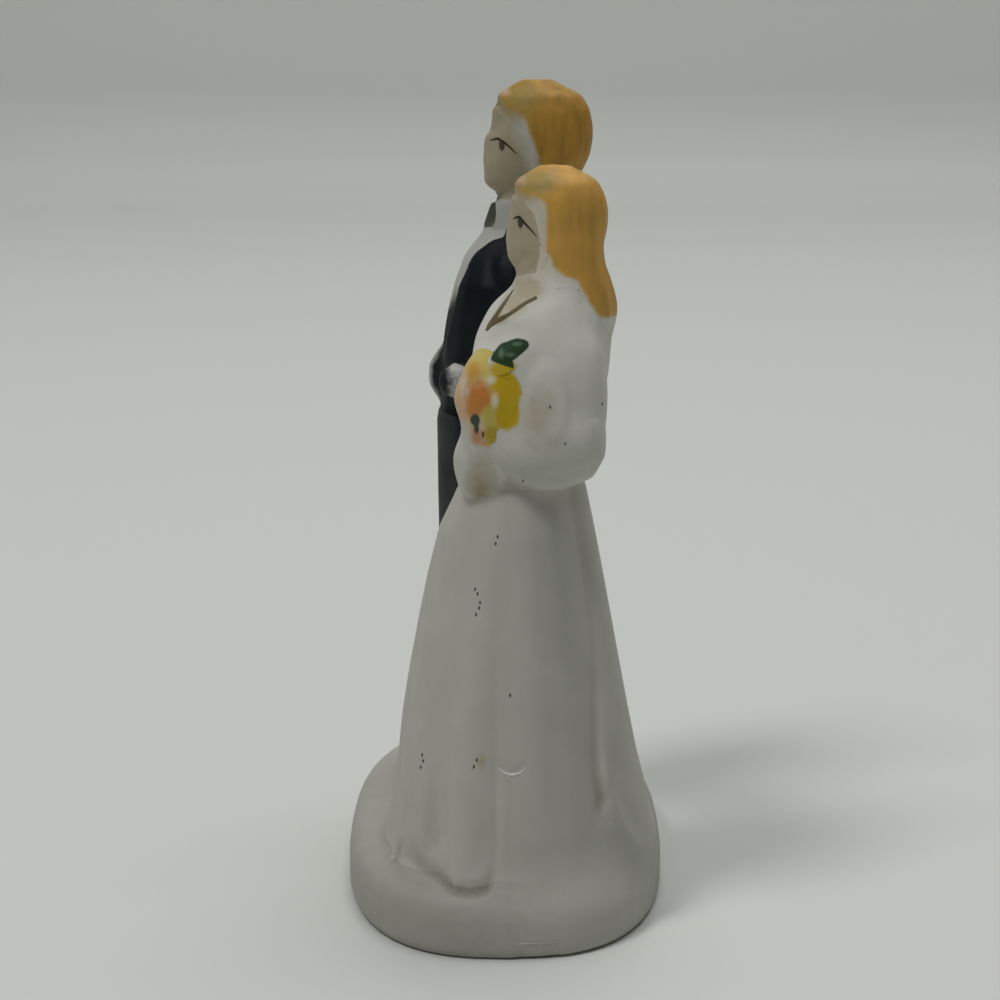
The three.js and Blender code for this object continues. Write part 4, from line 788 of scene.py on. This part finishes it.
# wet paint that has run together: matt yellow, orange and pale grounds under the same stray dabs
petals = {"over": LEAF, "rim": LEAF_RIM, "first": POSY_DABS, "dabs": LEAF_VEINS}
yellow_bloom = fired("yellow bloom paint", ("cbb03c", "cfc07c"), roughness=0.6, tooth=0.3, **petals)
orange_bloom = fired("orange bloom paint", ("cf9450", "d2b48c"), roughness=0.6, tooth=0.3, **petals)
posy_ground = fired("pale dabbed posy ground", ("cfc3a0", "cfbd98"), roughness=0.6, tooth=0.3, **petals)
# a deep green with a crisp edge on the white, and paler veins where the paint is thin
leaf_green = fired("green leaf paint", GOWN, roughness=0.55, tooth=0.3, cloud=1.2, first=(
    ("c4a92a", (25, -0.3, 68.4), (4, 1.8, 1.1), 0.3),
), over=LEAF, rim=LEAF_RIM, dabs=LEAF_VEINS)
for node, slot, paint in (("posy_body", "white_bisque", posy_ground),
                          ("posy_yellow_bloom", "yellow_bloom", yellow_bloom),
                          ("posy_upper_bloom", "yellow_bloom", yellow_bloom),
                          ("posy_front_bloom", "yellow_bloom", yellow_bloom),
                          ("posy_orange_bloom", "orange_bloom", orange_bloom),
                          ("posy_lower_bloom", "orange_bloom", orange_bloom)):
    settle(node + "_casting", node, cast(node, grid=0.25 * MM, brush=0.06), paint, leaf_paint)
settle("posy_leaf_casting", "posy_leaf", cast("posy_leaf", grid=0.22 * MM), leaf_green,
       leaf_paint)
settle("posy_ribbon_casting", "posy_ribbon", cast("posy_ribbon", grid=0.28 * MM), hand_wash)

# Stage. A pale table top that runs back to a low cove and a backdrop, under soft light from above and
# from the couple's front, in a dim white room. Sizes are in metres.
STAGE_LINE = ((0.7, 0.0), (-1.1, 0.0), (-1.14, 0.008), (-1.165, 0.03), (-1.175, 0.07), (-1.175, 1.4))
STAGE_HALF = 2.0
stage_points = [(x, side * STAGE_HALF, z) for x, z in STAGE_LINE for side in (-1, 1)]
stage_faces = [(2 * k, 2 * k + 2, 2 * k + 3, 2 * k + 1) for k in range(len(STAGE_LINE) - 1)]
stage_mesh = bpy.data.meshes.new("table_top")
stage_mesh.from_pydata(stage_points, [], stage_faces)
stage_mesh.shade_smooth()
table = bpy.data.objects.new("table_top", stage_mesh)
scene.collection.objects.link(table)
# a plain light grey that takes a soft shadow and shows no pattern
paper = bpy.data.materials.new("pale table board")
paper.use_nodes = True
board = paper.node_tree.nodes["Principled BSDF"]
board.inputs["Base Color"].default_value = linear("d5d7d2")
board.inputs["Roughness"].default_value = 0.6
stage_mesh.materials.append(paper)


def lamp(name, start, aim, size, power):
    """A square soft light at a place, pointed at another."""
    data = bpy.data.lights.new(name, "AREA")
    data.size = size
    data.energy = power
    light = bpy.data.objects.new(name, data)
    light.location = start
    light.rotation_euler = (Vector(aim) - Vector(start)).to_track_quat("-Z", "Y").to_euler()
    scene.collection.objects.link(light)


lamp("softbox_overhead", start=(-0.4, 0.25, 1.6), aim=(-0.1, 0, 0.03), size=1.2, power=12.3)
lamp("softbox_left", start=(0.45, -0.6, 1.35), aim=(0, 0, 0.05), size=0.36, power=7.6)
world = bpy.data.worlds.new("room")
world.use_nodes = True
world.node_tree.nodes["Background"].inputs["Color"].default_value = linear("f2f4f2")
world.node_tree.nodes["Background"].inputs["Strength"].default_value = 0.12
scene.world = world
scene.view_settings.view_transform = "Standard"

# Camera. At the photograph's place: beside the bride, a little above the heads and looking slightly down,
# through a long lens.
CAMERA_PLACE = (0.288, 0.0, 0.107)
CAMERA_PITCH = 11.6
eye = bpy.data.cameras.new("camera")
eye.lens = 82.8
eye.shift_x = -0.005
eye.clip_start = 0.01
camera = bpy.data.objects.new("camera", eye)
camera.location = CAMERA_PLACE
camera.rotation_euler = (math.radians(90 - CAMERA_PITCH), 0, math.radians(90))
scene.collection.objects.link(camera)
scene.camera = camera
